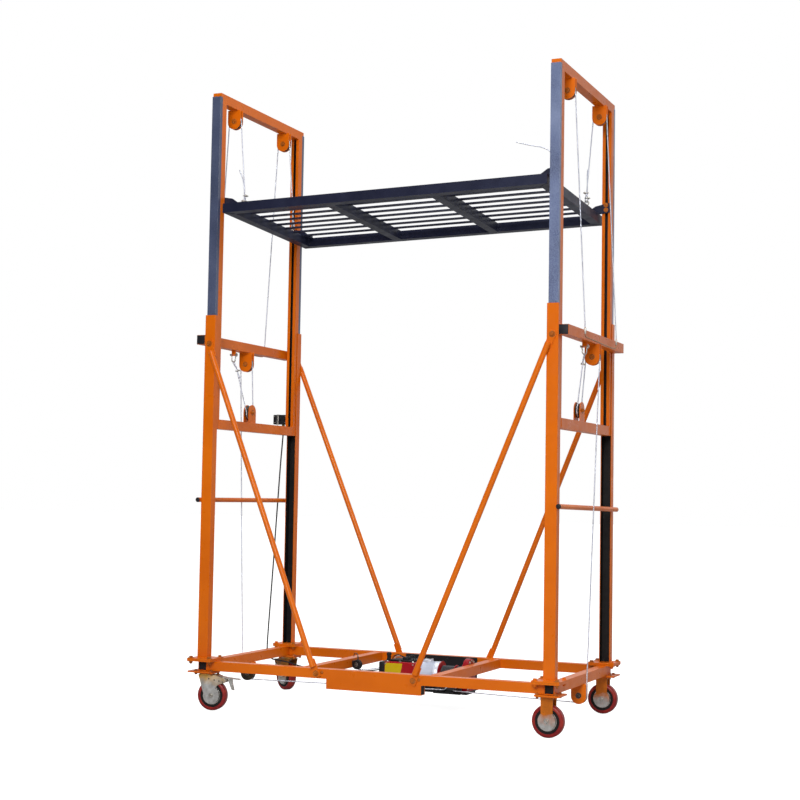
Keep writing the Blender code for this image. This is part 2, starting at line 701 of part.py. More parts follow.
def build_arm(deck, sx, sy):
    """Upright bracket at the deck's corner; its two rollers run in the mast's slot."""
    lip = MAST_FRONT - SKIN_D - GAP - CHANNEL_D
    outer = lip - ARM_GAP
    inner = outer - ARM_T
    end_x = DECK_X + sx * DECK_HX
    top = (deck_matrix() @ Vector((sx * DECK_HX, sy * outer, RAIL_S))).z
    roller_x = sx * FRAME_X
    plate = [(end_x - sx * ARM_FOOT, top - 0.004), (end_x - sx * 0.020, top + 0.040),
             (roller_x + sx * 0.020, top + 0.056), (roller_x + sx * 0.020, top + 0.004),
             (end_x - sx * 0.002, top - 0.004)]
    ys = sorted((sy * outer, sy * inner))
    combine(deck, extrude_mesh(plate, "XZ", ys[0], ys[1]))
    ys = sorted((sy * (inner + 0.001), sy * (inner - 0.030)))
    xs = sorted((end_x - sx * ARM_FOOT, end_x - sx * 0.001))
    combine(deck, box_mesh((xs[0], ys[0], top - 0.006), (xs[1], ys[1], top + 0.006)))
    for level in ROLLER_LEVELS:
        start, end = sorted((sy * (inner + 0.002), sy * (lip + 0.026)))
        centre = (roller_x, 0, top + level)
        combine(deck, cylinder_mesh("Y", centre, start, end, ROLLER_R, 12))


# ---------------------------------------------------------------- winch
def build_winch():
    """Housing, motor, gearbox plate and drum in a row on the tray."""
    y, z = HOIST_Y, HOIST_Z
    base = TRAY_Z[1] + GAP
    build_cradle()
    box = make_object("winch_box", box_mesh(*HOIST_BOX), "red")
    combine(box, box_mesh(*HOIST_END))
    combine(box, box_mesh((-0.140, 0.070, base), (0.010, 0.190, HOIST_BOX[0][2] + 0.002)))
    motor = make_object("winch_motor", cylinder_mesh("X", (0, y, z), *MOTOR_X, MOTOR_R, 40), "silver")
    combine(motor, box_mesh((0.040, y - 0.045, base), (0.130, y + 0.045, 0.150)))
    housing = [(y - GEARBOX_HALF, base), (y + GEARBOX_HALF, base)]
    housing += arc((y, GEARBOX_TOP), GEARBOX_HALF, 0, 180, 20)
    gearbox = make_object("winch_gearbox", extrude_mesh(housing, "YZ", *GEARBOX_X), "red")
    combine(gearbox, cylinder_mesh("X", (0, y, z), MOTOR_X[1] + 0.002, GEARBOX_X[0] + 0.010, SHAFT_R, 20))
    drum = make_object("winch_drum", turned_mesh("X", (0, 0, 0), drum_profile(), 28), "red")
    drum.location = (DRUM_X[0], y, z)


def drum_profile():
    """Two end flanges and a lower one between the ropes."""
    width = DRUM_X[1] - DRUM_X[0]
    middle, radius = DRUM_MIDDLE[0] - DRUM_X[0], DRUM_MIDDLE[1]
    half = 0.0025
    bore = SHAFT_R + 0.0004
    return [(bore, 0.0), (DRUM_FLANGE, 0.0), (DRUM_FLANGE, 0.005), (DRUM_CORE, 0.006),
            (DRUM_CORE, middle - half), (radius, middle - half), (radius, middle + half),
            (DRUM_CORE, middle + half), (DRUM_CORE, width - 0.006), (DRUM_FLANGE, width - 0.005),
            (DRUM_FLANGE, width), (bore, width)]


def build_cradle():
    """Tray under the winch that hangs on the back rail, with two rope guides in front."""
    back = RAIL_Y - TUBE - GAP
    low, high = TRAY_Z
    left, right = TRAY_X
    cradle = make_object("winch_cradle", box_mesh((left, TRAY_Y, low), (right, back, high)), "black")
    combine(cradle, box_mesh((left, back - 0.006, low), (TRAY_BACK_X, back, RAIL_HI - GAP)))
    combine(cradle, box_mesh((left, TRAY_Y - 0.002, low - 0.004), (GEARBOX_X[0], TRAY_Y + 0.004, high + 0.005)))
    near, far = HOIST_Y - GEARBOX_HALF, HOIST_Y + GEARBOX_HALF
    combine(cradle, box_mesh((GEARBOX_X[0], near, low - 0.009), (right, far, low + 0.001)))
    combine(cradle, box_mesh((0.160, GUIDE_Y - 0.036, low), (0.312, TRAY_Y + 0.001, high)))
    for x, level in GUIDES:
        groove = ROPE_R + 0.0007
        profile = [(0.0, high - 0.002), (GUIDE_R, high - 0.002), (GUIDE_R, level - 0.007),
                   (GUIDE_GROOVE, level - groove), (GUIDE_GROOVE, level + groove), (GUIDE_R, level + 0.007),
                   (GUIDE_R, level + 0.009), (0.0, level + 0.009)]
        combine(cradle, spool_mesh((x, GUIDE_Y, 0), profile))


def spool_mesh(centre, profile, count=18):
    """Solid turned piece whose profile starts and ends on its axis."""
    bm = bmesh.new()
    rings = []
    for radius, level in profile[1:-1]:
        points = ring_points(Vector(centre) + Vector((0, 0, level)), "Z", radius, count)
        rings.append([bm.verts.new(p) for p in points])
    loft(bm, rings)
    bm.faces.new(rings[0][::-1])
    bm.faces.new(rings[-1])
    return bm


def build_switch():
    """Box on the outer face of the back left post, and its cable down to the winch."""
    x = -(FRAME_X + POST_W / 2 + GAP)
    low = (x - SWITCH_W, SWITCH_Y[0], SWITCH_Z[0])
    box = make_object("switch_box", box_mesh(low, (x, SWITCH_Y[1], SWITCH_Z[1])), "black")
    exit_x, exit_y, exit_z = CABLE_ROUTE[0]
    gland_top = SWITCH_Z[0] + 0.002
    combine(box, cylinder_mesh("Z", (exit_x, exit_y, 0), exit_z + GAP, gland_top, 0.009, 16))
    make_object("control_cable", pipe_mesh(smooth(CABLE_ROUTE, 2), CABLE_R, 6), "cable")


def smooth(points, steps):
    """Rounded path through hand-placed points."""
    points = [Vector(p) for p in points]
    path = []
    for i in range(len(points) - 1):
        before = points[max(i - 1, 0)]
        start, end = points[i], points[i + 1]
        after = points[min(i + 2, len(points) - 1)]
        for k in range(steps):
            t = k / steps
            path.append(0.5 * (2 * start + (end - before) * t
                               + (2 * before - 5 * start + 4 * end - after) * t ** 2
                               + (3 * start - before - 3 * end + after) * t ** 3))
    path.append(points[-1])
    return path


# ---------------------------------------------------------------- ropes
def arc_points(centre, first, second, radius, start, end, steps=8):
    """Arc about centre in the plane of two unit vectors, angles in degrees."""
    angles = [math.radians(start + (end - start) * i / steps) for i in range(steps + 1)]
    return [Vector(centre) + (Vector(first) * math.cos(a) + Vector(second) * math.sin(a)) * radius
            for a in angles]


def build_platform_ropes():
    """From the deck's corner over the top pulley and down to the upper bar."""
    for side, sx in SIDES:
        for end, sy in ENDS:
            y = sy * TOP_PULLEY[1]
            deck_x = sx * DECK_ROPE_X
            foot = deck_matrix() @ Vector((deck_x - DECK_X, y, RAIL_S + 0.001))
            centre = (sx * TOP_PULLEY[0], y, TOP_PULLEY[2])
            bar_x = sx * (FRAME_X + POST_W / 2 + GAP + TUBE + ROPE_R + GAP)
            over = arc_points(centre, (-sx, 0, 0), (0, 0, 1), PITCH_R, -3, 182, 12)
            path = [foot] + over + [Vector((bar_x, y, BAR_TOP + 0.004)), Vector((bar_x, y, 1.930))]
            name = "rope_platform_{}_{}".format(end, side)
            make_object(name, pipe_mesh(path, ROPE_R, 6), "steel_rope")


def build_winch_ropes():
    """Anchor, moving pulley, fixed pulley, base pulley, guide, drum."""
    for side, sx in SIDES:
        guide_x, guide_z = GUIDES[0] if sx < 0 else GUIDES[1]
        moving = (sx * MOVING_PULLEY[0], MOVING_PULLEY[1], MOVING_PULLEY[2])
        fixed = (sx * FIXED_PULLEY[0], FIXED_PULLEY[1], FIXED_PULLEY[2])
        base = (sx * BASE_PULLEY[0], BASE_PULLEY[1], BASE_PULLEY[2])
        path = [Vector((fixed[0], -0.146, 1.8905))]
        path += arc_points(moving, (0, -1, 0), (0, 0, -1), PITCH_R, 0, 180, 12)
        path += arc_points(fixed, (-sx, 0, 0), (0, 0, 1), PITCH_R, -4, 181, 12)
        path += arc_points(base, (sx, 0, 0), (0, 0, -1), PITCH_R, 2, 90, 6)
        guide = (guide_x, GUIDE_Y, guide_z)
        path += arc_points(guide, (0, -1, 0), (-sx, 0, 0), GUIDE_REACH, 0, 90, 5)
        drum_x = guide_x - sx * GUIDE_REACH
        reach = DRUM_CORE + ROPE_R + 0.0005
        drum = (drum_x, HOIST_Y, HOIST_Z)
        path += arc_points(drum, (0, 0, -1), (0, 1, 0), reach, 0, 90, 5)
        make_object("rope_winch_" + side, pipe_mesh(path, ROPE_R, 6), "steel_rope")


build_rails()
build_deep_beam()
build_end_rails()
build_posts()
build_upper_bars()
build_handles()
build_braces()
build_casters()
build_masts()
build_pulleys()
build_platform()
build_winch()
build_switch()
build_platform_ropes()
build_winch_ropes()
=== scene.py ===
import json
import math
import random

import bmesh
import bpy
from mathutils import Matrix, Vector

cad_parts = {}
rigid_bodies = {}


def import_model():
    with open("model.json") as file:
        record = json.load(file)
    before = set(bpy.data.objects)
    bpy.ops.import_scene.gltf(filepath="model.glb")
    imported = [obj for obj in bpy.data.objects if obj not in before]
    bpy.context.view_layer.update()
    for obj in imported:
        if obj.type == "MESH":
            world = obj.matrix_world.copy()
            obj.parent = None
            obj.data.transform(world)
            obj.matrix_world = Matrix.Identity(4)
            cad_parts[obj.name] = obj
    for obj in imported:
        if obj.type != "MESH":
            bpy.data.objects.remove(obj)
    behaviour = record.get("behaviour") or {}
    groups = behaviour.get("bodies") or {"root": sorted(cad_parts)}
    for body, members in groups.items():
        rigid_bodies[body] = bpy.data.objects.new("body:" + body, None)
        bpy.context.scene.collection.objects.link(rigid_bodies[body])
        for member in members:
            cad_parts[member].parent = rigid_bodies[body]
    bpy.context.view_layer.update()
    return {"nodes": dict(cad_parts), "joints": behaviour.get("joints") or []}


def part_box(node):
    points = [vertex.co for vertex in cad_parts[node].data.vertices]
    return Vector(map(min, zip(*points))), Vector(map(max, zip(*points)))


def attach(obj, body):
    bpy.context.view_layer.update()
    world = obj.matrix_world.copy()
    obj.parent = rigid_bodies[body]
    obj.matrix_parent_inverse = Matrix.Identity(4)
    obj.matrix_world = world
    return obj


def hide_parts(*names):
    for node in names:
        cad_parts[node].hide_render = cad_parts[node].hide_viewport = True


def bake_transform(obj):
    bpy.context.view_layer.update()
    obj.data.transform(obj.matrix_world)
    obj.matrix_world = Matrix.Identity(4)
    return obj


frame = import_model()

random.seed(7)

NODES = frame["nodes"]
SIDES = (("left", -1), ("right", 1))
ENDS = (("front", -1), ("back", 1))
SIGNS = ((-1, -1), (-1, 1), (1, -1), (1, 1))
X, Y, Z = Vector((1, 0, 0)), Vector((0, 1, 0)), Vector((0, 0, 1))
MM = 0.001
FRAME_X = 0.950
POST_FACE_Y = 0.5064
BRACE_TOP_Z = 1.925
FLANGE_TOP = 0.2724
FLANGE_UNDER = 0.2559
CASTER_PLATE_TOP = 0.2062
CASTER_PLATE_UNDER = 0.1915
DECK_AT = Vector((0.005, 0, 2.6245))
DECK_TUBE = 0.050
DECK_RISE_X = 0.0212
DECK_RISE_Y = -0.0443
DECK_HALF_X = 0.905
DECK_HALF_Y = 0.487
WASHER = 0.0016


def in_scene(name, data):
    """New object around mesh, light or camera data."""
    obj = bpy.data.objects.new(name, data)
    bpy.context.scene.collection.objects.link(obj)
    return obj


def corners():
    """Name of each corner, with the signs of its X and Y."""
    for side, sx in SIDES:
        for end, sy in ENDS:
            yield f"{end}_{side}", sx, sy


def joint_of(name):
    """A joint of the frame by its name."""
    return next(j for j in frame["joints"] if j["name"] == name)


def pulley_at(place):
    """Middle of a pulley."""
    return Vector(joint_of(f"pulley_{place}_spin")["pos_m"])


def joints_under(prefix):
    """Body, place, axis and rider's body of each joint whose child has the prefix."""
    for joint in frame["joints"]:
        if joint["child"].startswith(prefix):
            yield joint["child"], Vector(joint["pos_m"]), Vector(joint["axis"]), joint["parent"]


# ---------- camera
CAMERA_AT = (3.2053, -7.5233, 1.1359)


def make_camera():
    """The photograph's viewpoint: low, right of the middle, looking slightly up."""
    yaw, pitch, roll = 0.4097, 0.0625, 0.0168
    look = Vector((-math.sin(yaw) * math.cos(pitch), math.cos(yaw) * math.cos(pitch), math.sin(pitch)))
    level = Vector((math.cos(yaw), math.sin(yaw), 0))
    upright = level.cross(look)
    right = level * math.cos(roll) + upright * math.sin(roll)
    up = upright * math.cos(roll) - level * math.sin(roll)
    data = bpy.data.cameras.new("camera")
    data.sensor_width = 36.0
    data.lens = 68.94
    data.clip_end = 200
    camera = in_scene("camera", data)
    turn = Matrix((right, up, -look)).transposed()
    camera.matrix_world = Matrix.Translation(CAMERA_AT) @ turn.to_4x4()
    bpy.context.scene.camera = camera


make_camera()


def turned_to(direction):
    """Rotation that takes +Z to a direction."""
    return Vector(direction).to_track_quat("Z", "Y").to_matrix()


def mm(*points):
    """Points given in millimetres."""
    return [tuple(value * MM for value in point) for point in points]


def moved(base, points):
    """Points given from a base."""
    return [Vector(base) + Vector(point) for point in points]


def smooth_path(points, steps):
    """Rounded path through given points."""
    points = [Vector(p) for p in points]
    path = []
    for i in range(len(points) - 1):
        before = points[max(i - 1, 0)]
        start, end = points[i], points[i + 1]
        after = points[min(i + 2, len(points) - 1)]
        for k in range(steps):
            t = k / steps
            path.append(0.5 * (2 * start + (end - before) * t
                               + (2 * before - 5 * start + 4 * end - after) * t ** 2
                               + (3 * start - before - 3 * end + after) * t ** 3))
    path.append(points[-1])
    return path


def arc(centre, first, second, radius, start, end, steps):
    """Points on an arc in the plane of two unit vectors, angles in degrees."""
    angles = [math.radians(start + (end - start) * i / steps) for i in range(steps + 1)]
    return [Vector(centre) + (Vector(first) * math.cos(a) + Vector(second) * math.sin(a)) * radius
            for a in angles]


class Shape:
    """Gathers turned, extruded and swept solids into one mesh."""

    def __init__(self):
        self.bm = bmesh.new()
        self.uv = self.bm.loops.layers.uv.new("UVMap")

    def _skin(self, rings, closed, marks=None):
        """Faces between neighbouring rings, with end caps unless the rings close up."""
        count = len(rings[0])
        for k in range(len(rings) if closed else len(rings) - 1):
            n = (k + 1) % len(rings)
            for i in range(count):
                j = (i + 1) % count
                face = self.bm.faces.new((rings[k][i], rings[k][j], rings[n][j], rings[n][i]))
                if marks:
                    places = ((i, marks[k]), (i + 1, marks[k]), (i + 1, marks[n]), (i, marks[n]))
                    for loop, (u, v) in zip(face.loops, places):
                        loop[self.uv].uv = (u / count, v)
        if not closed:
            self.bm.faces.new(rings[0][::-1])
            self.bm.faces.new(rings[-1])

    def turned(self, origin, direction, profile, count=32, closed=False, spin=0.0):
        """Spin a profile of (radius, height); closed means the profile is a loop."""
        basis = turned_to(direction)
        rings = []
        for radius, height in profile:
            rings.append([])
            for i in range(count):
                a = 2 * math.pi * i / count + spin
                local = Vector((radius * math.cos(a), radius * math.sin(a), height))
                rings[-1].append(self.bm.verts.new(Vector(origin) + basis @ local))
        self._skin(rings, closed)

    def hexagon(self, origin, direction, flats, height, spin=0.0):
        """Nut or bolt head with turned-down corners."""
        r = flats / math.sqrt(3)
        self.turned(origin, direction, [(r, 0), (r, height * 0.82), (r * 0.88, height)], 6, spin=spin)

    def head(self, origin, direction, flats, height, spin=0.0):
        """Bolt head on a washer; gives back the washer's top."""
        self.turned(origin, direction, [(flats * 0.95, 0), (flats * 0.95, WASHER)], 28)
        seat = Vector(origin) + Vector(direction) * WASHER
        self.hexagon(seat, direction, flats, height, spin)
        return seat

    def nut(self, origin, direction, flats, height, spin=0.0):
        """Nut on a washer, with the end of the bolt standing out."""
        seat = self.head(origin, direction, flats, height, spin)
        tip = height + 0.0030
        thread = [(flats * 0.3, 0), (flats * 0.3, tip), (flats * 0.24, tip + 0.0010)]
        self.turned(seat, direction, thread, 16)

    def tube(self, points, radius, sides=12, pitch=0.03, closed=False):
        """Round bar along points; its UV map runs round it and along it."""
        points = [Vector(p) for p in points]
        last = len(points) - 1
        tangents = []
        for i in range(len(points)):
            before = points[i - 1] if closed else points[max(i - 1, 0)]
            after = points[(i + 1) % len(points)] if closed else points[min(i + 1, last)]
            tangents.append((after - before).normalized())
        side = tangents[0].orthogonal().normalized()
        rings, marks, run = [], [], 0.0
        for i, (point, tangent) in enumerate(zip(points, tangents)):
            side = (side - tangent * side.dot(tangent)).normalized()
            up = tangent.cross(side)
            if i:
                run += (point - points[i - 1]).length
            size = radius(i / max(last, 1)) if callable(radius) else radius
            rings.append([])
            for k in range(sides):
                turn = 2 * math.pi * k / sides
                rings[-1].append(self.bm.verts.new(point + side * size * math.cos(turn) + up * size
                    * math.sin(turn)))
            marks.append(run / pitch)
        self._skin(rings, closed, marks)

    def block(self, low, high, bevel=0.0, segments=2):
        """Box between two corners, with rounded edges."""
        made = bmesh.ops.create_cube(self.bm, size=1.0)["verts"]
        for vert in made:
            for axis in range(3):
                middle = (low[axis] + high[axis]) / 2
                vert.co[axis] = middle + vert.co[axis] * (high[axis] - low[axis])
        if bevel:
            edges = list({e for v in made for e in v.link_edges})
            bmesh.ops.bevel(self.bm, geom=edges, offset=bevel, segments=segments,
                            profile=0.5, affect="EDGES", clamp_overlap=True)

    def slab(self, outline, plane, start, end):
        """Extruded outline, given in the two axes of plane."""
        first, second = "XYZ".index(plane[0]), "XYZ".index(plane[1])
        rings = []
        for level in (start, end):
            rings.append([])
            for a, b in outline:
                co = [level, level, level]
                co[first], co[second] = a, b
                rings[-1].append(self.bm.verts.new(co))
        self._skin(rings, False)

    def place(self, matrix):
        """Move everything gathered so far."""
        self.bm.transform(matrix)

    def piece(self, name, finish, body="root", stands_for=(), slot=None, sharp=38, bevel=0.0):
        """Finish the mesh as an object that moves with a body; with no body it is left unattached."""
        bmesh.ops.recalc_face_normals(self.bm, faces=self.bm.faces)
        mesh = bpy.data.meshes.new(name)
        self.bm.to_mesh(mesh)
        self.bm.free()
        mesh.shade_smooth()
        mesh.set_sharp_from_angle(angle=math.radians(sharp))
        obj = in_scene(name, mesh)
        mesh.materials.append(M[finish])
        if bevel:
            add_bevel(obj, bevel)
        if body:
            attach(obj, body)
        if stands_for:
            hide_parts(*stands_for)
        return obj


def add_bevel(obj, width):
    """Round the sharp edges with a modifier."""
    bevel = obj.modifiers.new("rounded edges", "BEVEL")
    bevel.width = width
    bevel.segments = 2
    bevel.limit_method = "ANGLE"
    bevel.angle_limit = math.radians(38)
    bevel.harden_normals = True
    bevel.miter_outer = "MITER_ARC"


def dress(node, finish, width):
    """Give a CAD node its finish and, with modifiers only, rounded edges."""
    obj = NODES[node]
    mesh = obj.data
    if "custom_normal" in mesh.attributes:
        mesh.attributes.remove(mesh.attributes["custom_normal"])
    obj.material_slots[0].material = M[finish]
    for polygon in mesh.polygons:
        polygon.use_smooth = True
    weld = obj.modifiers.new("weld", "WELD")
    weld.merge_threshold = 0.00002
    if node != "platform":
        flat = obj.modifiers.new("merge flat faces", "DECIMATE")
        flat.decimate_type = "DISSOLVE"
        flat.angle_limit = math.radians(0.6)
    add_bevel(obj, width)


# ---------- materials
class Nodes:
    """Short names for building a material's node tree."""

    def __init__(self, name, roughness, metallic=0.0, coat=0.0, coat_roughness=0.03, specular=0.5):
        self.material = bpy.data.materials.new(name)
        self.material.use_nodes = True
        self.tree = self.material.node_tree
        self.shader = self.tree.nodes["Principled BSDF"]
        for socket, value in (("Roughness", roughness), ("Metallic", metallic), ("Coat Weight", coat),
                              ("Coat Roughness", coat_roughness), ("Specular IOR Level", specular)):
            self.shader.inputs[socket].default_value = value

    def add(self, kind, **values):
        node = self.tree.nodes.new(kind)
        for key, value in values.items():
            if hasattr(node, key):
                setattr(node, key, value)
            else:
                node.inputs[key.replace("_", " ")].default_value = value
        return node

    def link(self, out, into):
        self.tree.links.new(out, into)

    def feed(self, socket, value):
        """Give a socket a colour, a number or another node's output."""
        if isinstance(value, tuple):
            socket.default_value = (*value, 1)
        elif isinstance(value, (int, float)):
            socket.default_value = value
        elif value is not None:
            self.link(value, socket)

    def noise(self, scale, detail=3.0, roughness=0.55, stretch=(1, 1, 1)):
        source = self.add("ShaderNodeTexCoord")
        mapping = self.add("ShaderNodeMapping")
        mapping.inputs["Scale"].default_value = stretch
        self.link(source.outputs["Object"], mapping.inputs["Vector"])
        node = self.add("ShaderNodeTexNoise", Scale=scale, Detail=detail, Roughness=roughness)
        self.link(mapping.outputs["Vector"], node.inputs["Vector"])
        return node.outputs["Fac"]

    def ramp(self, value, stops):
        node = self.add("ShaderNodeValToRGB")
        elements = node.color_ramp.elements
        while len(elements) < len(stops):
            elements.new(0.5)
        for element, (place, colour) in zip(elements, stops):
            element.position = place
            element.color = (*colour, 1)
        self.link(value, node.inputs["Fac"])
        return node.outputs["Color"]

    def span(self, value, low, high, new_low=0.0, new_high=1.0):
        node = self.add("ShaderNodeMapRange", From_Min=low, From_Max=high,
                        To_Min=new_low, To_Max=new_high)
        self.link(value, node.inputs["Value"])
        return node.outputs["Result"]

    def patches(self, scale, detail, low, high):
        """Value that wanders between two limits over the surface."""
        return self.span(self.noise(scale, detail), 0.3, 0.7, low, high)

    def maths(self, operation, first, second=None):
        node = self.add("ShaderNodeMath", operation=operation)
        self.feed(node.inputs[0], first)
        self.feed(node.inputs[1], second)
        return node.outputs["Value"]

    def mix(self, factor, first, second):
        node = self.add("ShaderNodeMix", data_type="RGBA")
        start, end = [socket for socket in node.inputs if socket.type == "RGBA"]
        self.feed(node.inputs["Factor"], factor)
        self.feed(start, first)
        self.feed(end, second)
        return [socket for socket in node.outputs if socket.type == "RGBA"][0]

    def split(self, kind="Object"):
        """The three coordinates of a place, apart."""
        source = self.add("ShaderNodeTexCoord")
        apart = self.add("ShaderNodeSeparateXYZ")
        self.link(source.outputs[kind], apart.inputs["Vector"])
        return apart.outputs

    def bump(self, value, distance, strength=1.0, below=None):
        node = self.add("ShaderNodeBump", Distance=distance, Strength=strength)
        self.link(value, node.inputs["Height"])
        self.feed(node.inputs["Normal"], below)
        return node.outputs["Normal"]

    def edge(self, radius):
        """1 along sharp edges, 0 on flat faces."""
        rounded = self.add("ShaderNodeBevel", samples=4, Radius=radius)
        shape = self.add("ShaderNodeNewGeometry")
        compare = self.add("ShaderNodeVectorMath", operation="DOT_PRODUCT")
        self.link(rounded.outputs["Normal"], compare.inputs[0])
        self.link(shape.outputs["Normal"], compare.inputs[1])
        return self.span(compare.outputs["Value"], 0.99, 0.9)

    def wire(self, colour, roughness, normal, metallic=None):
        """Connect the shader and give back the material."""
        for name, value in (("Base Color", colour), ("Roughness", roughness),
                            ("Normal", normal), ("Metallic", metallic)):
            self.feed(self.shader.inputs[name], value)
        return self.material


def paint(name, colour, dark, light, worn, rough=0.32, shade_heights=None):
    """Sprayed paint: slow colour drift, orange-peel surface, specks, worn edges, and, if heights are given,
    painted shade below them.
    """
    n = Nodes(name, rough, coat=0.10, coat_roughness=0.14, specular=0.18)
    drift = n.ramp(n.noise(3.2, 4), [(0.30, dark), (0.52, colour), (0.75, light)])
    specks = n.span(n.noise(240, 2, 0.7), 0.70, 0.74)
    speckled = n.mix(n.maths("MULTIPLY", specks, 0.55), drift, dark)
    broken = n.maths("MULTIPLY", n.edge(0.0022), n.span(n.noise(55, 4, 0.65), 0.50, 0.66))
    finished = n.mix(n.maths("MULTIPLY", broken, 0.75), speckled, worn)
    # painted shade below the given heights
    if shade_heights:
        finished = shade_below(n, finished, *shade_heights)
    surface = n.bump(n.noise(420, 2), 0.00012, 0.8)
    scratches = n.span(n.noise(60, 3, 0.6, (1.0, 1.0, 9.0)), 0.68, 0.75)
    return n.wire(finished, n.patches(18, 4, rough - 0.07, rough + 0.10),
                  n.bump(scratches, 0.00008, 0.5, surface))


def shade_below(n, clean, low, high):
    """Painted shade: a dark brown that fades out between two heights, darker below."""
    ragged = n.maths("ADD", n.split()["Z"], n.patches(40, 4, -0.006, 0.006))
    shade_colour = n.ramp(n.noise(70, 4), [(0.4, (0.012, 0.009, 0.006)), (0.7, (0.060, 0.036, 0.012))])
    return n.mix(n.span(ragged, high, low), clean, shade_colour)


ORANGE = ((0.70, 0.142, 0.0020), (0.64, 0.123, 0.0014), (0.76, 0.162, 0.0030), (0.76, 0.26, 0.05))


def make_materials():
    """Every finish, by the name that pieces ask for."""
    m = {}
    m["orange"] = paint("orange_paint", *ORANGE)
    # painted shade: the left end rail is darker below the rail, round the base pulley's bracket
    m["orange_shaded_below"] = paint("orange_paint_shaded_below", *ORANGE, shade_heights=(0.176, 0.190))
    m["bolt"] = paint("painted_bolt", (0.40, 0.105, 0.010), (0.26, 0.062, 0.006), (0.54, 0.155, 0.016),
                      (0.70, 0.46, 0.22))
    m["navy"] = paint("navy_paint", (0.013, 0.015, 0.036), (0.009, 0.011, 0.027), (0.022, 0.026, 0.056),
                      (0.10, 0.11, 0.15), rough=0.40)
    m["blue"] = slate_paint()
    m["black"] = paint("black_paint", (0.012, 0.012, 0.014), (0.008, 0.008, 0.009), (0.022, 0.022, 0.024),
                       (0.07, 0.07, 0.07), rough=0.46)
    m["red"] = paint("red_paint", (0.36, 0.005, 0.012), (0.28, 0.003, 0.008), (0.44, 0.008, 0.016),
                     (0.50, 0.12, 0.10))
    m["yellow"] = paint("yellow_panel", (0.58, 0.42, 0.003), (0.50, 0.36, 0.002), (0.64, 0.48, 0.006),
                        (0.76, 0.62, 0.2))
    m["silver"] = cast_silver()
    m["zinc"] = zinc_plate("bright_zinc", (0.54, 0.52, 0.48), (0.66, 0.64, 0.61), (0.40, 0.37, 0.32))
    m["fork_left"] = fork_plate("fork_silver", (0.60, 0.33, 0.06), 0.130, 0.185)
    # a darker copy of the fork finish: painted shade on the back-left fork
    m["fork_back"] = fork_plate("fork_painted_shade", (0.34, 0.125, 0.012), 0.050, 0.100)
    m["fork_right"] = fork_plate("fork_golden", (0.60, 0.155, 0.008), 0.066, 0.114)
    m["steel"] = zinc_plate("bolt_steel", (0.50, 0.48, 0.44), (0.64, 0.62, 0.58), (0.34, 0.30, 0.24))
    m["dark_iron"] = dark_machined_iron()
    m["tyre"] = urethane()
    m["ring"] = moulded("black_ring", (0.005, 0.004, 0.004), 0.55)
    m["plastic"] = moulded("black_plastic", (0.008, 0.008, 0.010), 0.50)
    # dark sheet colour for the channels' insides: painted shade
    m["channel_shade"] = moulded("channel_shade_sheet", (0.006, 0.005, 0.005), 0.55)
    m["rubber"] = moulded("cable_jacket", (0.012, 0.012, 0.013), 0.52)
    m["white_tie"] = moulded("white_tie", (0.62, 0.63, 0.65), 0.4)
    m["rope"] = wire_rope("wire_rope", (0.78, 0.81, 0.91), (0.42, 0.44, 0.52))
    m["soiled_rope"] = wire_rope("soiled_rope", (0.52, 0.27, 0.13), (0.12, 0.045, 0.015))
    # a much darker copy of the wire rope: painted shade on the drum's windings
    m["rope_painted_shade"] = wire_rope("rope_painted_shade", (0.10, 0.10, 0.11), (0.012, 0.012, 0.012))
    m["brass"] = zinc_plate("brass_gland", (0.62, 0.44, 0.16), (0.72, 0.54, 0.24), (0.40, 0.27, 0.09))
    return m


def slate_paint():
    """Blue-grey hammer paint with a speckled tone, and painted shade: darker towards -X and towards the
    top.
    """
    n = Nodes("slate_paint", 0.34, coat=0.2, coat_roughness=0.15, specular=0.3)
    tone = n.ramp(n.noise(2.6, 4), [(0.32, (0.075, 0.095, 0.180)), (0.5, (0.145, 0.182, 0.320)),
        (0.66, (0.240, 0.290, 0.460))])
    fleck = n.span(n.noise(170, 3, 0.7), 0.42, 0.62)
    speckled = n.mix(n.maths("MULTIPLY", fleck, 0.40), tone, (0.30, 0.36, 0.54))
    place = n.split()
    # painted shade: the paint darkens towards -X and towards the top of the masts
    across = n.span(place["X"], -1.0, 1.0, 0.35, 1.0)
    lit = n.maths("MULTIPLY", across, n.span(place["Z"], 1.6, 3.2, 1.0, 0.75))
    painted_shade_tone = n.mix(lit, (0.020, 0.024, 0.050), speckled)
    edges = n.maths("MULTIPLY", n.edge(0.002), n.span(n.noise(60, 3), 0.45, 0.62))
    colour = n.mix(n.maths("MULTIPLY", edges, 0.6), painted_shade_tone, (0.50, 0.52, 0.56))
    dimples = n.bump(n.noise(150, 2, 0.6), 0.00025, 0.7)
    return n.wire(colour, n.patches(14, 3, 0.26, 0.42), dimples)


def zinc_plate(name, base, light, dark):
    """Plated steel: cloudy spangle, fine grain, dulled patches."""
    n = Nodes(name, 0.34, 0.92)
    cloud = n.ramp(n.noise(34, 5, 0.6), [(0.30, dark), (0.50, base), (0.70, light)])
    grain = n.bump(n.noise(520, 3, 0.6), 0.00008, 0.7)
    return n.wire(cloud, n.patches(46, 4, 0.24, 0.46), grain)


def fork_plate(name, gold, low, high):
    """Pressed fork: golden passivate at the top that fades to bright zinc."""
    n = Nodes(name, 0.36, 0.85)
    fade = n.span(n.maths("ADD", n.split()["Z"], n.patches(24, 4, -0.018, 0.018)), low, high)
    silver = n.ramp(n.noise(40, 5, 0.6), [(0.3, (0.42, 0.41, 0.39)), (0.5, (0.56, 0.55, 0.53)),
        (0.7, (0.70, 0.69, 0.67))])
    dark_gold, light_gold = [tuple(c * f for c in gold) for f in (0.78, 1.22)]
    golden = n.ramp(n.noise(30, 4), [(0.3, dark_gold), (0.5, gold), (0.7, light_gold)])
    grain = n.bump(n.noise(480, 3), 0.0001, 0.7)
    metal = n.span(fade, 0.0, 1.0, 0.85, 0.55)
    return n.wire(n.mix(fade, silver, golden), n.patches(36, 4, 0.26, 0.46), grain, metal)


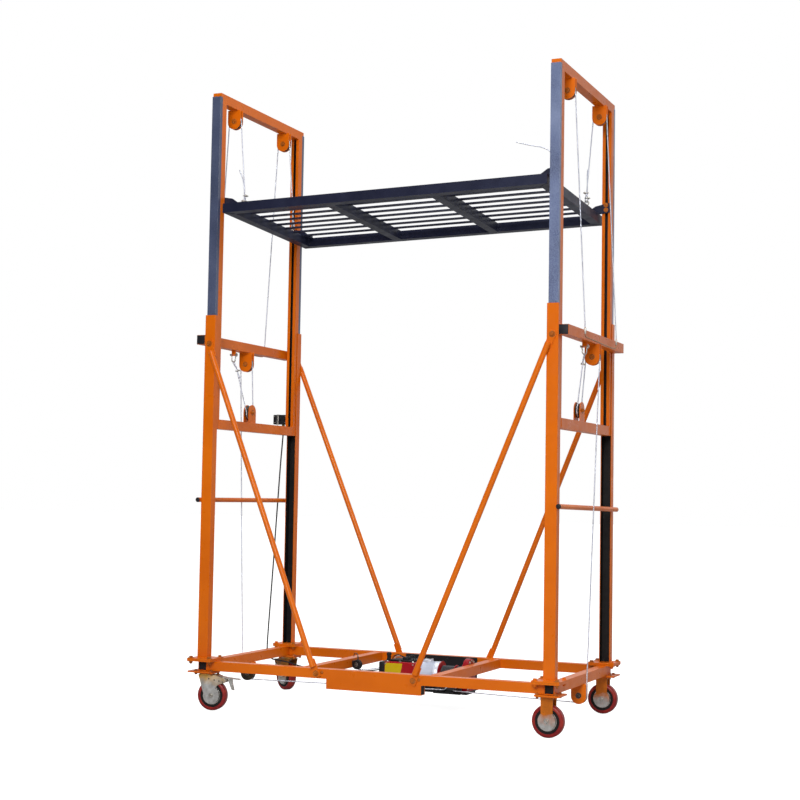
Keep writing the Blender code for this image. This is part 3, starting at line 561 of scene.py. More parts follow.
def cast_silver():
    """Silver-painted casting with a sandy skin."""
    n = Nodes("cast_silver", 0.42, 0.35, coat=0.15)
    tone = n.ramp(n.noise(12, 4), [(0.3, (0.66, 0.70, 0.80)), (0.5, (0.76, 0.80, 0.90)),
        (0.7, (0.84, 0.88, 0.96))])
    sand = n.bump(n.noise(330, 3, 0.7), 0.00025, 0.8)
    return n.wire(tone, n.patches(60, 3, 0.34, 0.5), sand)


def dark_machined_iron():
    """Dark machined iron with a patchy tone and a polished rim."""
    n = Nodes("dark_machined_iron", 0.38, 0.75)
    tone = n.ramp(n.noise(42, 5, 0.65), [(0.30, (0.030, 0.024, 0.020)), (0.52, (0.090, 0.078, 0.066)),
        (0.72, (0.20, 0.18, 0.16))])
    worn = n.maths("MULTIPLY", n.edge(0.0015), 0.7)
    grain = n.bump(n.noise(260, 3), 0.00012, 0.7)
    return n.wire(n.mix(worn, tone, (0.46, 0.44, 0.41)), n.patches(24, 4, 0.22, 0.52), grain)


def urethane():
    """Red polyurethane: translucent-looking, with patches of dust."""
    n = Nodes("red_urethane", 0.36, coat=0.12, coat_roughness=0.2, specular=0.25)
    n.shader.inputs["Subsurface Weight"].default_value = 0.08
    n.shader.inputs["Subsurface Radius"].default_value = (0.01, 0.003, 0.002)
    tone = n.ramp(n.noise(22, 4), [(0.3, (0.170, 0.008, 0.013)), (0.5, (0.260, 0.014, 0.013)),
        (0.72, (0.400, 0.034, 0.014))])
    dust = n.maths("MULTIPLY", n.span(n.noise(70, 5, 0.7), 0.54, 0.76), 0.22)
    scuffs = n.bump(n.noise(190, 4, 0.7), 0.00018, 0.6)
    return n.wire(n.mix(dust, tone, (0.36, 0.20, 0.17)), n.patches(50, 3, 0.30, 0.50), scuffs)


def moulded(name, colour, rough):
    """Moulded plastic or rubber with a fine spark-eroded grain."""
    n = Nodes(name, rough, specular=0.25)
    light = tuple(min(c * 1.6 + 0.002, 1) for c in colour)
    tone = n.ramp(n.noise(26, 4), [(0.35, colour), (0.7, light)])
    grain = n.bump(n.noise(620, 2), 0.00008, 0.8)
    return n.wire(tone, n.patches(40, 3, rough - 0.06, rough + 0.10), grain)


def wire_rope(name, light, dark):
    """Twisted strands: diagonal grooves round the rope, each strand with finer wires, with painted shade in
    the grooves.
    """
    n = Nodes(name, 0.34, 0.8)
    place = n.split("UV")
    lay = n.maths("MULTIPLY", n.maths("ADD", place["X"], place["Y"]), 6.0)
    strand = n.maths("ABSOLUTE", n.maths("SINE", n.maths("MULTIPLY", lay, math.pi)))
    cross = n.maths("SUBTRACT", n.maths("MULTIPLY", lay, 5.0), n.maths("MULTIPLY", place["Y"], 24.0))
    wires = n.maths("ABSOLUTE", n.maths("SINE", n.maths("MULTIPLY", cross, math.pi)))
    depth = n.maths("ADD", strand, n.maths("MULTIPLY", wires, 0.22))
    # painted shade: the colour runs dark in the grooves between strands and wires
    tone = n.ramp(depth, [(0.05, dark), (0.55, light)])
    soiled = n.mix(n.maths("MULTIPLY", n.span(n.noise(30, 4), 0.5, 0.75), 0.4), tone, dark)
    return n.wire(soiled, n.patches(80, 3, 0.26, 0.44), n.bump(depth, 0.0006, 0.9))


M = make_materials()


# ---------- cable
CABLE_R = 0.004
CABLE_ROUTE = [(-1.012, 0.470, 1.5200), (-1.012, 0.470, 1.490), (-1.012, 0.461, 1.420),
               (-1.012, 0.448, 1.330), (-1.012, 0.435, 1.220), (-1.012, 0.422, 1.100),
               (-1.013, 0.407, 0.950), (-1.013, 0.391, 0.790), (-1.013, 0.374, 0.640),
               (-1.013, 0.354, 0.470), (-1.012, 0.338, 0.350), (-1.008, 0.323, 0.252),
               (-0.996, 0.317, 0.213), (-0.970, 0.312, 0.194), (-0.930, 0.304, 0.189),
               (-0.860, 0.288, 0.184), (-0.760, 0.262, 0.168), (-0.640, 0.232, 0.157),
               (-0.520, 0.202, 0.155), (-0.400, 0.172, 0.162), (-0.300, 0.149, 0.171),
               (-0.230, 0.136, 0.178), (-0.1890, 0.130, 0.180)]


def build_cable():
    """Control cable that hangs from the switch box and runs in to the winch."""
    path = smooth_path(CABLE_ROUTE[::-1], 6)
    shape = Shape()
    shape.tube(path, CABLE_R, 12)
    cable = shape.piece("control_cable_jacket", "rubber", "root", ["control_cable"], sharp=60)


build_cable()


# ---------- CAD nodes' finishes
FINISHES = (("rail_", "orange", 1.2), ("cross_member_", "orange", 1.2),
            # the left end rail carries painted shade below the rail
            ("end_rail_left", "orange_shaded_below", 1.2), ("end_rail_right", "orange", 1.2),
            ("deep_beam", "orange", 0.8), ("post_", "orange", 1.0), ("upper_bar_", "orange", 1.2),
            ("handle_", "orange", 0.4), ("brace_", "orange", 1.0), ("mast_frame_", "orange", 0.8),
            ("mast_tube_", "blue", 0.8), ("platform", "navy", 1.0),
            # the back-left fork takes the darker copy of the fork finish: painted shade
            ("fork_front_left", "fork_left", 0.8), ("fork_back_left", "fork_back", 0.8),
            ("fork_front_right", "fork_right", 0.8), ("fork_back_right", "fork_right", 0.8),
            ("brake_pedal_", "zinc", 0.7), ("winch_cradle", "black", 0.8),
            ("winch_gearbox", "red", 1.5), ("switch_box", "plastic", 2.5))


def dress_nodes():
    """Finish the CAD nodes that are shown as they are."""
    for prefix, finish, width in FINISHES:
        for name in NODES:
            if name.startswith(prefix):
                dress(name, finish, width * MM)


dress_nodes()


# ---------- wheels
WHEEL_R = 0.079
WHEEL_HALF = 0.0225


def both_sides(points):
    """Profile loop from its lower half: the same points mirrored in height."""
    return points + [(r, -h) for r, h in reversed(points)]


def build_wheels():
    """Tyre, black ring and ribbed hub of each wheel."""
    turns = [math.radians(90 - 15 * i) for i in range(7)]
    tread = [(WHEEL_R + 0.012 * (math.cos(a) - 1), 0.011 * (1 - math.sin(a)) - WHEEL_HALF) for a in turns]
    tyre = [(0.0610, -0.0205), (0.0635, -WHEEL_HALF)] + tread
    ring = mm((47, -19), (48.2, -20.7), (60, -21), (61.6, -19.8))
    hub = mm((8.8, -21.5), (15, -21.5), (16.5, -20.5), (16.5, -13), (20, -11), (38, -11), (42, -13.5),
        (42.5, -18.5), (44, -19.8), (47.4, -19.8))
    for body, centre, axis, _ in joints_under("wheel_"):
        shape = Shape()
        shape.turned(centre, axis, both_sides(tyre), 96, closed=True)
        shape.piece(body + "_tyre", "tyre", body, [body])
        shape = Shape()
        shape.turned(centre, axis, both_sides(ring), 96, closed=True)
        shape.piece(body + "_ring", "ring", body)
        shape = Shape()
        shape.turned(centre, axis, both_sides(hub), 64, closed=True)
        basis = turned_to(axis)
        for i in range(6):
            turn = 2 * math.pi * i / 6
            spoke = basis @ Vector((0.030 * math.cos(turn), 0.030 * math.sin(turn), 0))
            for side in (-1, 1):
                at = Vector(centre) + spoke + Vector(axis) * side * 0.0105
                shape.turned(at, Vector(axis) * side, mm((4.2, 0), (4.2, 1.2), (3.4, 2.2)), 20)
        shape.piece(body + "_hub", "zinc", body)


def build_fork_rivets(name, rider, stem, roll):
    """Rivets on the outer faces of a swivel fork's shoulders."""
    axis = Vector(roll["axis"])
    along = (Vector(roll["pos_m"]) - stem).to_2d().normalized().to_3d()
    shape = Shape()
    for x, z in mm((22, 166), (52, 160), (78, 156), (98, 152)):
        for sign in (-1, 1):
            at = Vector((stem.x, stem.y, z)) + along * x + axis * sign * 0.0304
            shape.turned(at, axis * sign, mm((4.2, 0), (4, 1), (2.6, 2)), 20)
    shape.piece("fork_rivets_" + name, "dark_iron", rider)


def build_caster_fittings():
    """Axle bolts, races, king bolts, rivets and plate bolts of the four casters."""
    for name, sx, sy in corners():
        roll = joint_of(f"wheel_{name}_roll")
        rider = roll["parent"]
        centre, axis = Vector(roll["pos_m"]), Vector(roll["axis"])
        shape = Shape()
        face = 0.0307
        shape.head(centre - axis * face, -axis, 0.014, 0.0060)
        shape.nut(centre + axis * face, axis, 0.014, 0.0065)
        shape.piece("axle_bolt_" + name, "steel", rider)
        stem = Vector((0.940 if sx > 0 else -0.936, sy * 0.470, 0))
        if sx < 0:
            shape = Shape()
            shape.turned(stem, Z, mm((30, 186.2), (39, 186.6), (39.6, 187.8), (39.6, 190.2), (38.5, 191.2),
                (30, 191.4)), 64, closed=True)
            shape.piece("ball_race_" + name, "fork_left", rider)
            shape = Shape()
            shape.head(stem + Z * 0.1793, -Z, 0.016, 0.0060)
            shape.piece("king_bolt_" + name, "steel", rider)
            build_fork_rivets(name, rider, stem, roll)
        shape = Shape()
        for dx in (-0.046, 0.046):
            for dy in (-0.036, 0.036):
                at = stem + Vector((dx, dy, 0))
                shape.head(at + Z * CASTER_PLATE_TOP, Z, 0.012, 0.0050, spin=dx * 9)
                shape.turned(at + Z * CASTER_PLATE_UNDER, -Z, mm((6.5, 0), (6.5, 1.2)), 24)
                shape.hexagon(at + Z * (CASTER_PLATE_UNDER - 0.0012), -Z, 0.012, 0.0050, spin=dy * 20)
        shape.piece("caster_bolts_" + name, "bolt")


build_wheels()
build_caster_fittings()


# ---------- pulleys
def build_pulleys():
    """Grooved wheel and axle bolt of each pulley."""
    groove = [(0.0355 - 0.0030 * math.cos(a), 0.0030 * math.sin(a))
              for a in (math.radians(-70 + 20 * i) for i in range(4))]
    profile = both_sides(mm((8.5, -8.8), (13, -8.8), (14, -7), (15, -6), (29, -6), (30.5, -7), (31.5, -8.8),
        (38.5, -8.8), (39.7, -7.8)) + groove)
    for body, centre, axis, rider in joints_under("pulley_"):
        shape = Shape()
        shape.turned(centre, axis, profile, 72, closed=True)
        for i in range(5):
            turn = 2 * math.pi * i / 5
            spoke = turned_to(axis) @ Vector((0.0220 * math.cos(turn), 0.0220 * math.sin(turn), 0))
            for sign in (-1, 1):
                shape.turned(centre + spoke + axis * sign * 0.0055, axis * sign,
                             mm((4, 0), (4, 1), (3.4, 1.6)), 18)
        shape.piece(body + "_sheave", "dark_iron", body, [body], slot="dark_pulley")
        face = 0.0176 if "moving" in body else 0.0146
        shape = Shape()
        shape.head(centre - axis * face, -axis, 0.016, 0.0068, spin=0.3)
        shape.nut(centre + axis * face, axis, 0.016, 0.0070)
        # the base pulleys' bolts take the dark iron finish: painted shade under the rails
        finish = "dark_iron" if "base" in body else "bolt"
        shape.piece(body + "_bolt", finish, rider)


build_pulleys()


# ---------- ropes
ROPE_R = 0.003
ROPE_LAY = 0.022
PITCH_R = 0.0365
DECK_ROPE_X = 0.880
ROPE_OFFSET = 0.0034
GUIDES = {"left": (0.188, 0.127), "right": (0.284, 0.125)}
GUIDE_Y = 0.024


def deck_top(x, y):
    """Height of the platform's top face, which hangs a little out of level."""
    return DECK_AT.z + DECK_TUBE + DECK_RISE_X * (x - DECK_AT.x) + DECK_RISE_Y * y


def rope(points, name, body=None, stands_for=(), finish="rope"):
    """Run of twisted wire rope along points."""
    shape = Shape()
    shape.tube(points, ROPE_R, 12, pitch=ROPE_LAY)
    return shape.piece(name, finish, body, stands_for, sharp=60)


def rope_clip(shape, at, along, across):
    """Saddle, U-bolt and two nuts that clamp a rope's tail to its standing part."""
    along, across = Vector(along).normalized(), Vector(across).normalized()
    out = along.cross(across)
    saddle = Shape()
    saddle.block((-0.0110, -0.0050, -0.0105), (0.0110, 0.0050, -0.0035), 0.0014)
    turn = Matrix((out, along, across)).transposed().to_4x4()
    saddle.place(Matrix.Translation(at) @ turn)
    mesh = bpy.data.meshes.new("saddle")
    saddle.bm.to_mesh(mesh)
    saddle.bm.free()
    shape.bm.from_mesh(mesh)
    bpy.data.meshes.remove(mesh)
    legs = arc(Vector(at) + across * 0.0035, out * (7.5 / 6.5), across, 0.0065, 0, 180, 12)
    legs = [legs[0] - across * 0.021] + legs + [legs[-1] - across * 0.021]
    shape.tube(legs, 0.0020, 10)
    for sign in (-1, 1):
        nut = Vector(at) + out * sign * 0.0075 - across * 0.0105
        shape.hexagon(nut, -across, 0.0075, 0.0045, spin=sign * 0.4)


TAILS = {"front_right": mm((0, 0), (-12, 45), (-60, 80), (-130, 98), (-205, 120)),
         "front_left": mm((0, 0), (-6, 40), (-22, 85), (-46, 122)),
         "back_right": mm((0, 0), (0, 30), (-1, 70), (1, 105)),
         "back_left": mm((0, 0), (6, 25), (18, 50), (36, 68))}


def build_platform_ropes():
    """Bar, over the top pulley, down to an eye bolt on the platform's corner."""
    for side, sx in SIDES:
        for end, _ in ENDS:
            name = f"{end}_{side}"
            pulley = pulley_at(f"top_{name}")
            y = pulley.y
            deck_x = sx * DECK_ROPE_X
            eye_z = deck_top(deck_x, y) + 0.030
            clip = Vector((deck_x, y, eye_z + 0.055))
            over = arc(pulley, (-sx, 0, 0), (0, 0, 1), PITCH_R, 0, 180, 28)
            inner = rope([clip + Z * 0.004, over[0]], "lift_rope_inner_" + name)
            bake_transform(inner)
            bar_low, bar_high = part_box("upper_bar_" + side)
            face = (bar_high.x if sx > 0 else bar_low.x) + sx * (ROPE_R + 0.0006)
            outer = [over[-1], Vector((face, y, bar_high.z + 0.006))]
            stands_for = ["rope_platform_" + name]
            leg = rope(over[:-1] + outer, "lift_rope_outer_" + name, None, stands_for)
            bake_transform(leg)
            build_rope_end(name, side, clip, eye_z)
        build_bar_rope(side, face, bar_high.z, abs(y))


def build_bar_rope(side, face, top, y):
    """The two ropes of an end are one: it lies along the bar's outer face, between two ferrules."""
    half = mm((0, 6), (0, -24), (6, -35), (23, -40))
    sag = mm((-150, -43.5), (0, -46.5), (120, -49), (220, -49))
    route = [(along - y, drop) for along, drop in half] + sag
    route += [(y - along, drop) for along, drop in mm((23, -46.5), (4, -37), (0, -22), (0, 6))]
    path = [(face, along, top + drop) for along, drop in route]
    rope(smooth_path(path, 6), "lift_rope_bar_" + side, "root", finish="soiled_rope")
    shape = Shape()
    for sy in (-1, 1):
        shape.turned((face, sy * y, top - 0.026), Z, mm((3.1, 0), (5.2, 0), (5.8, 3), (5.8, 24), (5.2, 27),
            (3.1, 27)), 24, closed=True)
    shape.piece("bar_ferrules_" + side, "steel")


def build_rope_end(name, side, clip, eye_z):
    """Loop through the eye bolt, rope clips and the loose tail."""
    sx = -1 if side == "left" else 1
    eye = Vector((clip.x, clip.y, eye_z))
    across = X * sx
    loop = [clip + Z * 0.006, clip - Z * 0.012 - across * ROPE_OFFSET]
    loop += arc(eye + Z * 0.0115, -across, -Z, 0.0080, 0, 180, 14)
    loop += [clip - Z * 0.012 + across * ROPE_OFFSET, clip + Z * 0.014 + across * ROPE_OFFSET]
    swing = Vector((0.6, 0.25, 0)) if side == "left" else X
    root = clip + across * ROPE_OFFSET + Z * 0.020
    tail = [root + swing * dx + Z * dz for dx, dz in TAILS[name]]
    rope(smooth_path(loop + tail[1:], 4), "rope_loop_" + name, "platform")
    shape = Shape()
    shape.tube(arc(eye, X, Z, 0.0115, 0, 360, 28)[:-1], 0.0032, 12, closed=True)
    top = deck_top(clip.x, clip.y)
    shape.turned((clip.x, clip.y, top + 0.0003), Z,
                 [(0.0105, 0), (0.0105, 0.0016), (0.0048, 0.0017), (0.0040, eye_z - top - 0.0125)], 24)
    shape.hexagon((clip.x, clip.y, top + 0.0019), Z, 0.013, 0.0055)
    shape.piece("deck_eye_" + name, "steel", "platform", sharp=45)
    shape = Shape()
    rope_clip(shape, clip, Z, across)
    rope_clip(shape, clip - Z * 0.028, Z, -across)
    shape.piece("deck_clips_" + name, "steel", "platform")


def build_winch_ropes():
    """Anchor, moving pulley, fixed pulley, base pulley, guide, drum."""
    guide_r, reach = 0.0225, 0.0415
    drum = Vector(joint_of("drum_spin")["pos_m"])
    for side, sx in SIDES:
        moving = pulley_at(f"moving_{side}")
        fixed = pulley_at(f"fixed_{side}")
        base = pulley_at(f"base_{side}")
        anchor = Vector((fixed.x, -0.146, 1.8905))
        under = arc(moving, -Y, -Z, PITCH_R, 0, 180, 28)
        over = arc(fixed, X * -sx, Z, PITCH_R, -4, 181, 28)
        start = anchor.lerp(under[0], 0.27)
        lower = rope([start] + under + over, "winch_rope_upper_" + side, None, ["rope_winch_" + side])
        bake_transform(lower)
        guide_x, guide_z = GUIDES[side]
        path = [over[-1]] + arc(base, X * sx, -Z, PITCH_R, 2, 90, 16)
        path += arc((guide_x, GUIDE_Y, guide_z), -Y, X * -sx, guide_r, 0, 90, 12)
        path += arc((guide_x - sx * guide_r, drum.y, drum.z), -Z, Y, reach, 0, 60, 10)
        rope(path, "winch_rope_lower_" + side, "root")
        build_anchor(side, sx, anchor, start)


def build_anchor(side, sx, anchor, start):
    """Shackle on the bar's lug, the rope's thimble and clip, and its tail."""
    pin = Vector((anchor.x, anchor.y, 1.8990))
    bow = Vector((anchor.x, anchor.y - 0.002, 1.8700))
    shape = Shape()
    path = arc(bow, X, -Z, 0.0105, 0, 180, 16)
    first, last = [Vector((anchor.x + way * 0.0135, anchor.y, pin.z)) for way in (1, -1)]
    shape.tube(smooth_path([first] + path + [last], 2), 0.0034, 12)
    shape.turned(pin - X * 0.0190, X, mm((4.2, 0), (4.2, 38)), 20)
    shape.head(pin + X * 0.0172, X, 0.011, 0.0045)
    shape.hexagon(pin - X * 0.0172, -X, 0.011, 0.0055)
    down = (start - anchor).normalized()
    side_way = down.cross(X).normalized()
    low = bow - Z * 0.0105
    clip = start - down * 0.004
    rope_clip(shape, clip, down, side_way)
    shape.piece("anchor_shackle_" + side, "steel", sharp=45)
    apart = side_way * ROPE_OFFSET
    turn = arc(low + Z * 0.0020 + down * 0.008, side_way, -down, 0.0075, 0, 180, 12)
    path = [start + down * 0.003, clip - down * 0.012 + apart] + turn
    path += [clip - down * 0.012 - apart, clip + down * 0.016 - apart,
             clip + down * 0.045 - apart * 2.4 - X * sx * 0.004]
    rope(smooth_path(path, 4), "anchor_loop_" + side, "root")


build_platform_ropes()
build_winch_ropes()


# ---------- bolts and nuts
def build_flange_bolts():
    """Four bolts through each pair of corner plates, some of them overpainted."""
    for name, sx, sy in corners():
        plates = {"bolt": Shape(), "orange": Shape()}
        for i, (dx, dy) in enumerate(((-0.055, -0.055), (0.055, -0.055), (-0.055, 0.055), (0.055, 0.055))):
            at = Vector((sx * 0.945 + dx, sy * 0.475 + dy, 0))
            shape = plates["orange" if (i + sx + sy) % 3 == 0 else "bolt"]
            shape.head(at + Z * FLANGE_TOP, Z, 0.017, 0.0085, spin=random.uniform(0, 1))
            shape.nut(at + Z * FLANGE_UNDER, -Z, 0.017, 0.0090, spin=random.uniform(0, 1))
        for finish, shape in plates.items():
            shape.piece(f"flange_bolts_{finish}_{name}", finish)


BRACE_FEET = {"front_left": (-0.281, 0.232), "front_right": (0.252, 0.228),
              "back_left": (-0.250, 0.232), "back_right": (0.275, 0.230)}


def build_brace_bolts():
    """Bolts of the flattened brace ends, and a plug of weld beside each foot."""
    for name, sx, sy in corners():
        outward = Y * sy
        face = sy * POST_FACE_Y
        shape = Shape()
        shape.head((sx * FRAME_X, face, BRACE_TOP_Z), outward, 0.017, 0.0080, spin=0.4)
        foot_x, foot_z = BRACE_FEET[name]
        shape.head((foot_x, face, foot_z), outward, 0.017, 0.0080, spin=0.2)
        low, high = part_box("deep_beam" if name == "front_right" else "rail_" + name.split("_")[0])
        skin = (low.y if sy < 0 else high.y)
        shape.turned((foot_x + 0.028, skin, foot_z + 0.006), outward,
                     mm((8.5, 0), (8.5, 1), (7, 3.2), (4, 4.8), (1, 5.2)), 24)
        shape.piece("brace_bolts_" + name, "bolt", slot="orange")


build_flange_bolts()
build_brace_bolts()


# ---------- plugs, liners, welds
MAST_LIP = 0.4257
WELD_RIPPLE = 0.0022


def plug(shape, low, high, axis, outward, wall=0.0034, depth=0.0180):
    """Dark block inside one open end of a tube along an axis: painted shade for the tube's unlit inside."""
    along = "XYZ".index(axis)
    near = [value if i == along else value + wall for i, value in enumerate(low)]
    far = [value if i == along else value - wall for i, value in enumerate(high)]
    end = far[along] if outward > 0 else near[along]
    near[along], far[along] = sorted((end - outward * depth, end - outward * 0.0008))
    shape.block(near, far, 0.0016, 3)


def build_tube_end_shade():
    """Black blocks in the open ends of the tubes, painted shade for their unlit insides, and black caps on
    the handles.
    """
    for side, sx in SIDES:
        bar_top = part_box("upper_bar_" + side)[1].z
        for kind, faces, reach, top, wall, depth in (
                ("end_rail_", (0.9250, 0.9750), 0.4950, 0.256, 0.0034, 0.0180),
                ("upper_bar_", (0.9803, 1.0303), 0.5026, bar_top, 0.0012, 0.0023)):
            low_x, high_x = sorted(sx * face for face in faces)
            shape = Shape()
            for outward in (-1, 1):
                # painted shade: black blocks stand for the unlit insides of the end rails and upper bars
                plug(shape, (low_x, -reach, top - 0.050), (high_x, reach, top), "Y", outward, wall, depth)
            shape.piece("tube_end_shade_" + kind + side, "plastic")
        low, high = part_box("handle_" + side)
        cap = mm((10, -18), (10, 0.2), (12.7, 0.4), (12.7, 2), (10.5, 3.6), (4, 4.2))
        shape = Shape()
        for sy, z in ((-1, 1.098), (1, 1.098 - (0.016 if sx > 0 else 0.0))):
            shape.turned(((low.x + high.x) / 2, sy * 0.5120, z), Y * sy, cap, 32)
        shape.piece("handle_caps_" + side, "plastic")
    low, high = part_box("deep_beam")
    shape = Shape()
    for outward in (-1, 1):
        # painted shade: black blocks stand for the unlit insides of the deep beam
        plug(shape, (low.x, low.y, 0.157), (high.x, -0.445, 0.206), "X", outward)
    shape.piece("tube_end_shade_deep_beam", "plastic")


def build_channel_shade():
    """Dark sheets inside the posts' channels and the masts' channels: painted shade for the channels'
    insides.
    """
    thin = 0.0005
    strips = (("post", "root", 0.0259, 0.4959, 0.4560, 0.2725, 2.0775),
              ("mast", "mast", 0.0223, 0.4650, 0.4286, 1.5270, 3.2270))
    for kind, body, inside, web, lip, low, high in strips:
        for name, sx, sy in corners():
            half = [(inside, lip), (inside, web)]
            inner = [(inside - thin, lip), (inside - thin, web - thin)]
            outline = [(-a, b) for a, b in half] + half[::-1] + inner + [(-a, b) for a, b in inner[::-1]]
            shape = Shape()
            shape.slab([(sx * FRAME_X + a, sy * b) for a, b in outline], "XY", low, high)
            shape.piece(kind + "_channel_shade_" + name, "channel_shade", body)


def weld(shape, middle, half, radius, steps=None):
    """Rippled weld bead that runs half its length either way from its middle."""
    start, end = Vector(middle) - half, Vector(middle) + half
    count = steps or max(int((end - start).length / WELD_RIPPLE), 6)
    points = [start.lerp(end, i / count) for i in range(count + 1)]

    def size(t):
        taper = min(1.0, 6 * t + 0.35, 6 * (1 - t) + 0.35)
        return radius * taper * (1 + 0.13 * math.sin(t * count * 1.9))
    shape.tube(points, size, 8)


def build_base_welds():
    """Beads of the cross members, the corner plates and the posts' feet."""
    shape, feet = Shape(), Shape()
    for side, sx in SIDES:
        low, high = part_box("cross_member_" + side)
        middle, half = (low + high) / 2, (high - low) / 2
        for sy in (-1, 1):
            y = sy * 0.4447
            for x in (low.x, high.x):
                weld(shape, (x, y, middle.z), Z * (half.z - 0.002), 0.0026)
            weld(shape, (middle.x, y, high.z), X * (half.x - 0.002), 0.0020)
            for plate_y in (0.4448, 0.4952):
                weld(shape, (sx * 0.9249, sy * plate_y, 0.2310), Z * 0.0230, 0.0022)
            weld(feet, (sx * FRAME_X, sy * 0.5002, FLANGE_TOP), X * 0.0300, 0.0030)
            for edge in (-0.0302, 0.0302):
                weld(feet, (sx * FRAME_X + edge, sy * 0.4780, FLANGE_TOP), Y * 0.0210, 0.0030)
    shape.piece("base_welds", "orange", sharp=60)
    feet.piece("post_welds", "orange", sharp=60)


def build_frame_welds():
    """Beads of the masts' bars and of every pulley's cheeks."""
    for side, sx in SIDES:
        masts, brackets = Shape(), Shape()
        x = sx * FRAME_X
        for end, sy in ENDS:
            for dx in (-0.025, 0.025):
                weld(masts, (x + dx, sy * MAST_LIP, 1.5010), Z * 0.0230, 0.0022)
            weld(masts, (x, sy * (MAST_LIP + 0.0005), 1.5262), X * 0.024, 0.0022)
            pulley = pulley_at(f"top_{end}_{side}")
            for dy in (-0.01475, 0.01475):
                weld(masts, (pulley.x, pulley.y + dy, 3.2275), X * 0.028, 0.0020)
            for z in (1.9230, 1.9730):
                weld(brackets, (sx * 0.9806, sy * 0.4780, z), Y * 0.0210, 0.0020)
        moving = pulley_at(f"moving_{side}")
        for dx in (-0.0178, 0.0178):
            weld(masts, (moving.x + dx, moving.y, 1.5265), Y * 0.028, 0.0020)
        masts.piece("mast_welds_" + side, "orange", "mast", sharp=60)
        for place, z in (("fixed", 1.9225), ("base", 0.2057)):
            pulley = pulley_at(f"{place}_{side}")
            for dy in (-0.0148, 0.0148):
                weld(brackets, (pulley.x, dy, z), X * 0.024, 0.0020)
        brackets.piece("bracket_welds_" + side, "orange", sharp=60)


build_tube_end_shade()
build_channel_shade()
build_base_welds()
build_frame_welds()


# ---------- platform fittings
def deck_matrix():
    """From level platform coordinates to where the platform hangs."""
    turn_y = Matrix.Rotation(-math.atan(DECK_RISE_X), 4, "Y")
    turn_x = Matrix.Rotation(math.atan(DECK_RISE_Y), 4, "X")
    return Matrix.Translation(DECK_AT) @ turn_y @ turn_x


def build_deck_welds():
    """Beads of the slats, the cross members and the mitred corners."""
    inner_x, inner_y = DECK_HALF_X - DECK_TUBE, DECK_HALF_Y - DECK_TUBE
    bay = (2 * inner_x - 2 * DECK_TUBE) / 3
    welds = Shape()
    for number in range(3):
        x0 = -inner_x + number * (bay + DECK_TUBE)
        for x, inward in ((x0, 0.0005), (x0 + bay, -0.0005)):
            for slat in range(8):
                at = (x + inward, 0.100 * (slat - 3.5), DECK_TUBE - 0.0062)
                weld(welds, at, Y * 0.014, 0.0020, 8)
            for sy in (-1, 1):
                weld(welds, (x, sy * inner_y, 0.0245), Z * 0.0215, 0.0024)
    for sx, sy in SIGNS:
        for z in (0.0, DECK_TUBE):
            middle = (sx * (inner_x + 0.024), sy * (inner_y + 0.024), z)
            weld(welds, middle, Vector((sx * 0.024, sy * 0.024, 0)), 0.0018)
    welds.place(deck_matrix())
    welds.piece("deck_welds", "navy", "platform", sharp=60)


def build_arm_fittings():
    """Rollers in the masts' slots, their pins, and the bolts of the corner arms."""
    rollers, arms = Shape(), Shape()
    outer = MAST_LIP - 0.004
    ring = mm((6.2, 13), (7.4, 13.4), (7.4, 33), (6.2, 33.4))
    for sx, sy in SIGNS:
        top = (deck_matrix() @ Vector((sx * DECK_HALF_X, sy * outer, DECK_TUBE))).z
        for level in (0.018, 0.044):
            pin = Vector((sx * FRAME_X, sy * (outer - 0.008), top + level))
            arms.head(pin - Y * sy * 0.0003, -Y * sy, 0.013, 0.0055, spin=level * 30)
            rollers.turned(pin, Y * sy, ring, 32, closed=True)
        for dx in (0.030, 0.066):
            at = Vector((sx * (DECK_HALF_X - dx) + DECK_AT.x, sy * (outer - 0.022), top + 0.0062))
            arms.head(at, Z, 0.013, 0.0055, spin=dx * 20)
    arms.piece("arm_bolts", "bolt", "platform")
    rollers.piece("arm_rollers", "plastic", "platform")


build_deck_welds()
build_arm_fittings()


# ---------- winch
def build_hoist():
    """Control box of the winch with its panels and end cover."""
    low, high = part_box("winch_box")
    body_low, body_high = (-0.150, low.y, 0.122), (high.x, high.y, high.z)
    shape = Shape()
    shape.block(body_low, body_high, 0.006, 3)
    shape.block((-0.140, 0.070, 0.1143), (0.010, 0.190, 0.124), 0.002)
    shape.piece("hoist_housing", "red", "root", ["winch_box"])
    shape = Shape()
    shape.block((-0.188, 0.062, 0.130), (-0.1505, 0.196, 0.246), 0.007, 3)
    for i in range(6):
        z = 0.146 + 0.017 * i
        shape.block((-0.1835, 0.0600, z), (-0.156, 0.0622, z + 0.009), 0.0009)
    shape.turned((-0.1880, 0.130, 0.180), -X, mm((11, 0), (11, 0.4)), 32)
    shape.piece("hoist_end_cover", "plastic")
    front = body_low[1]
    shape = Shape()
    shape.slab(mm((-146, 130), (-68, 130), (-44, 243), (-146, 243)), "XZ", front - 0.0012, front)
    shape.piece("panel_yellow", "yellow", bevel=0.0006)
    shape = Shape()
    shape.slab(mm((-66, 130), (21, 130), (21, 243), (-42, 243)), "XZ", front - 0.0012, front)
    shape.piece("panel_red", "red", bevel=0.0006)
    shape = Shape()
    for x in (-0.142, 0.017):
        for z in (0.134, 0.239):
            shape.turned((x, front - 0.0012, z), -Y, mm((4.2, 0), (4.2, 1.4), (3.4, 2.4)), 20)
            shape.turned((x, front - 0.0036, z), -Y, mm((1.6, 0), (1.6, 0.2)), 6)
    for x in (-0.135, -0.062, 0.012):
        for y in (0.062, 0.193):
            shape.head((x, y, high.z), Z, 0.009, 0.0040, spin=x * 20)
    shape.piece("hoist_screws", "steel")
    build_hoist_wiring(high.z)


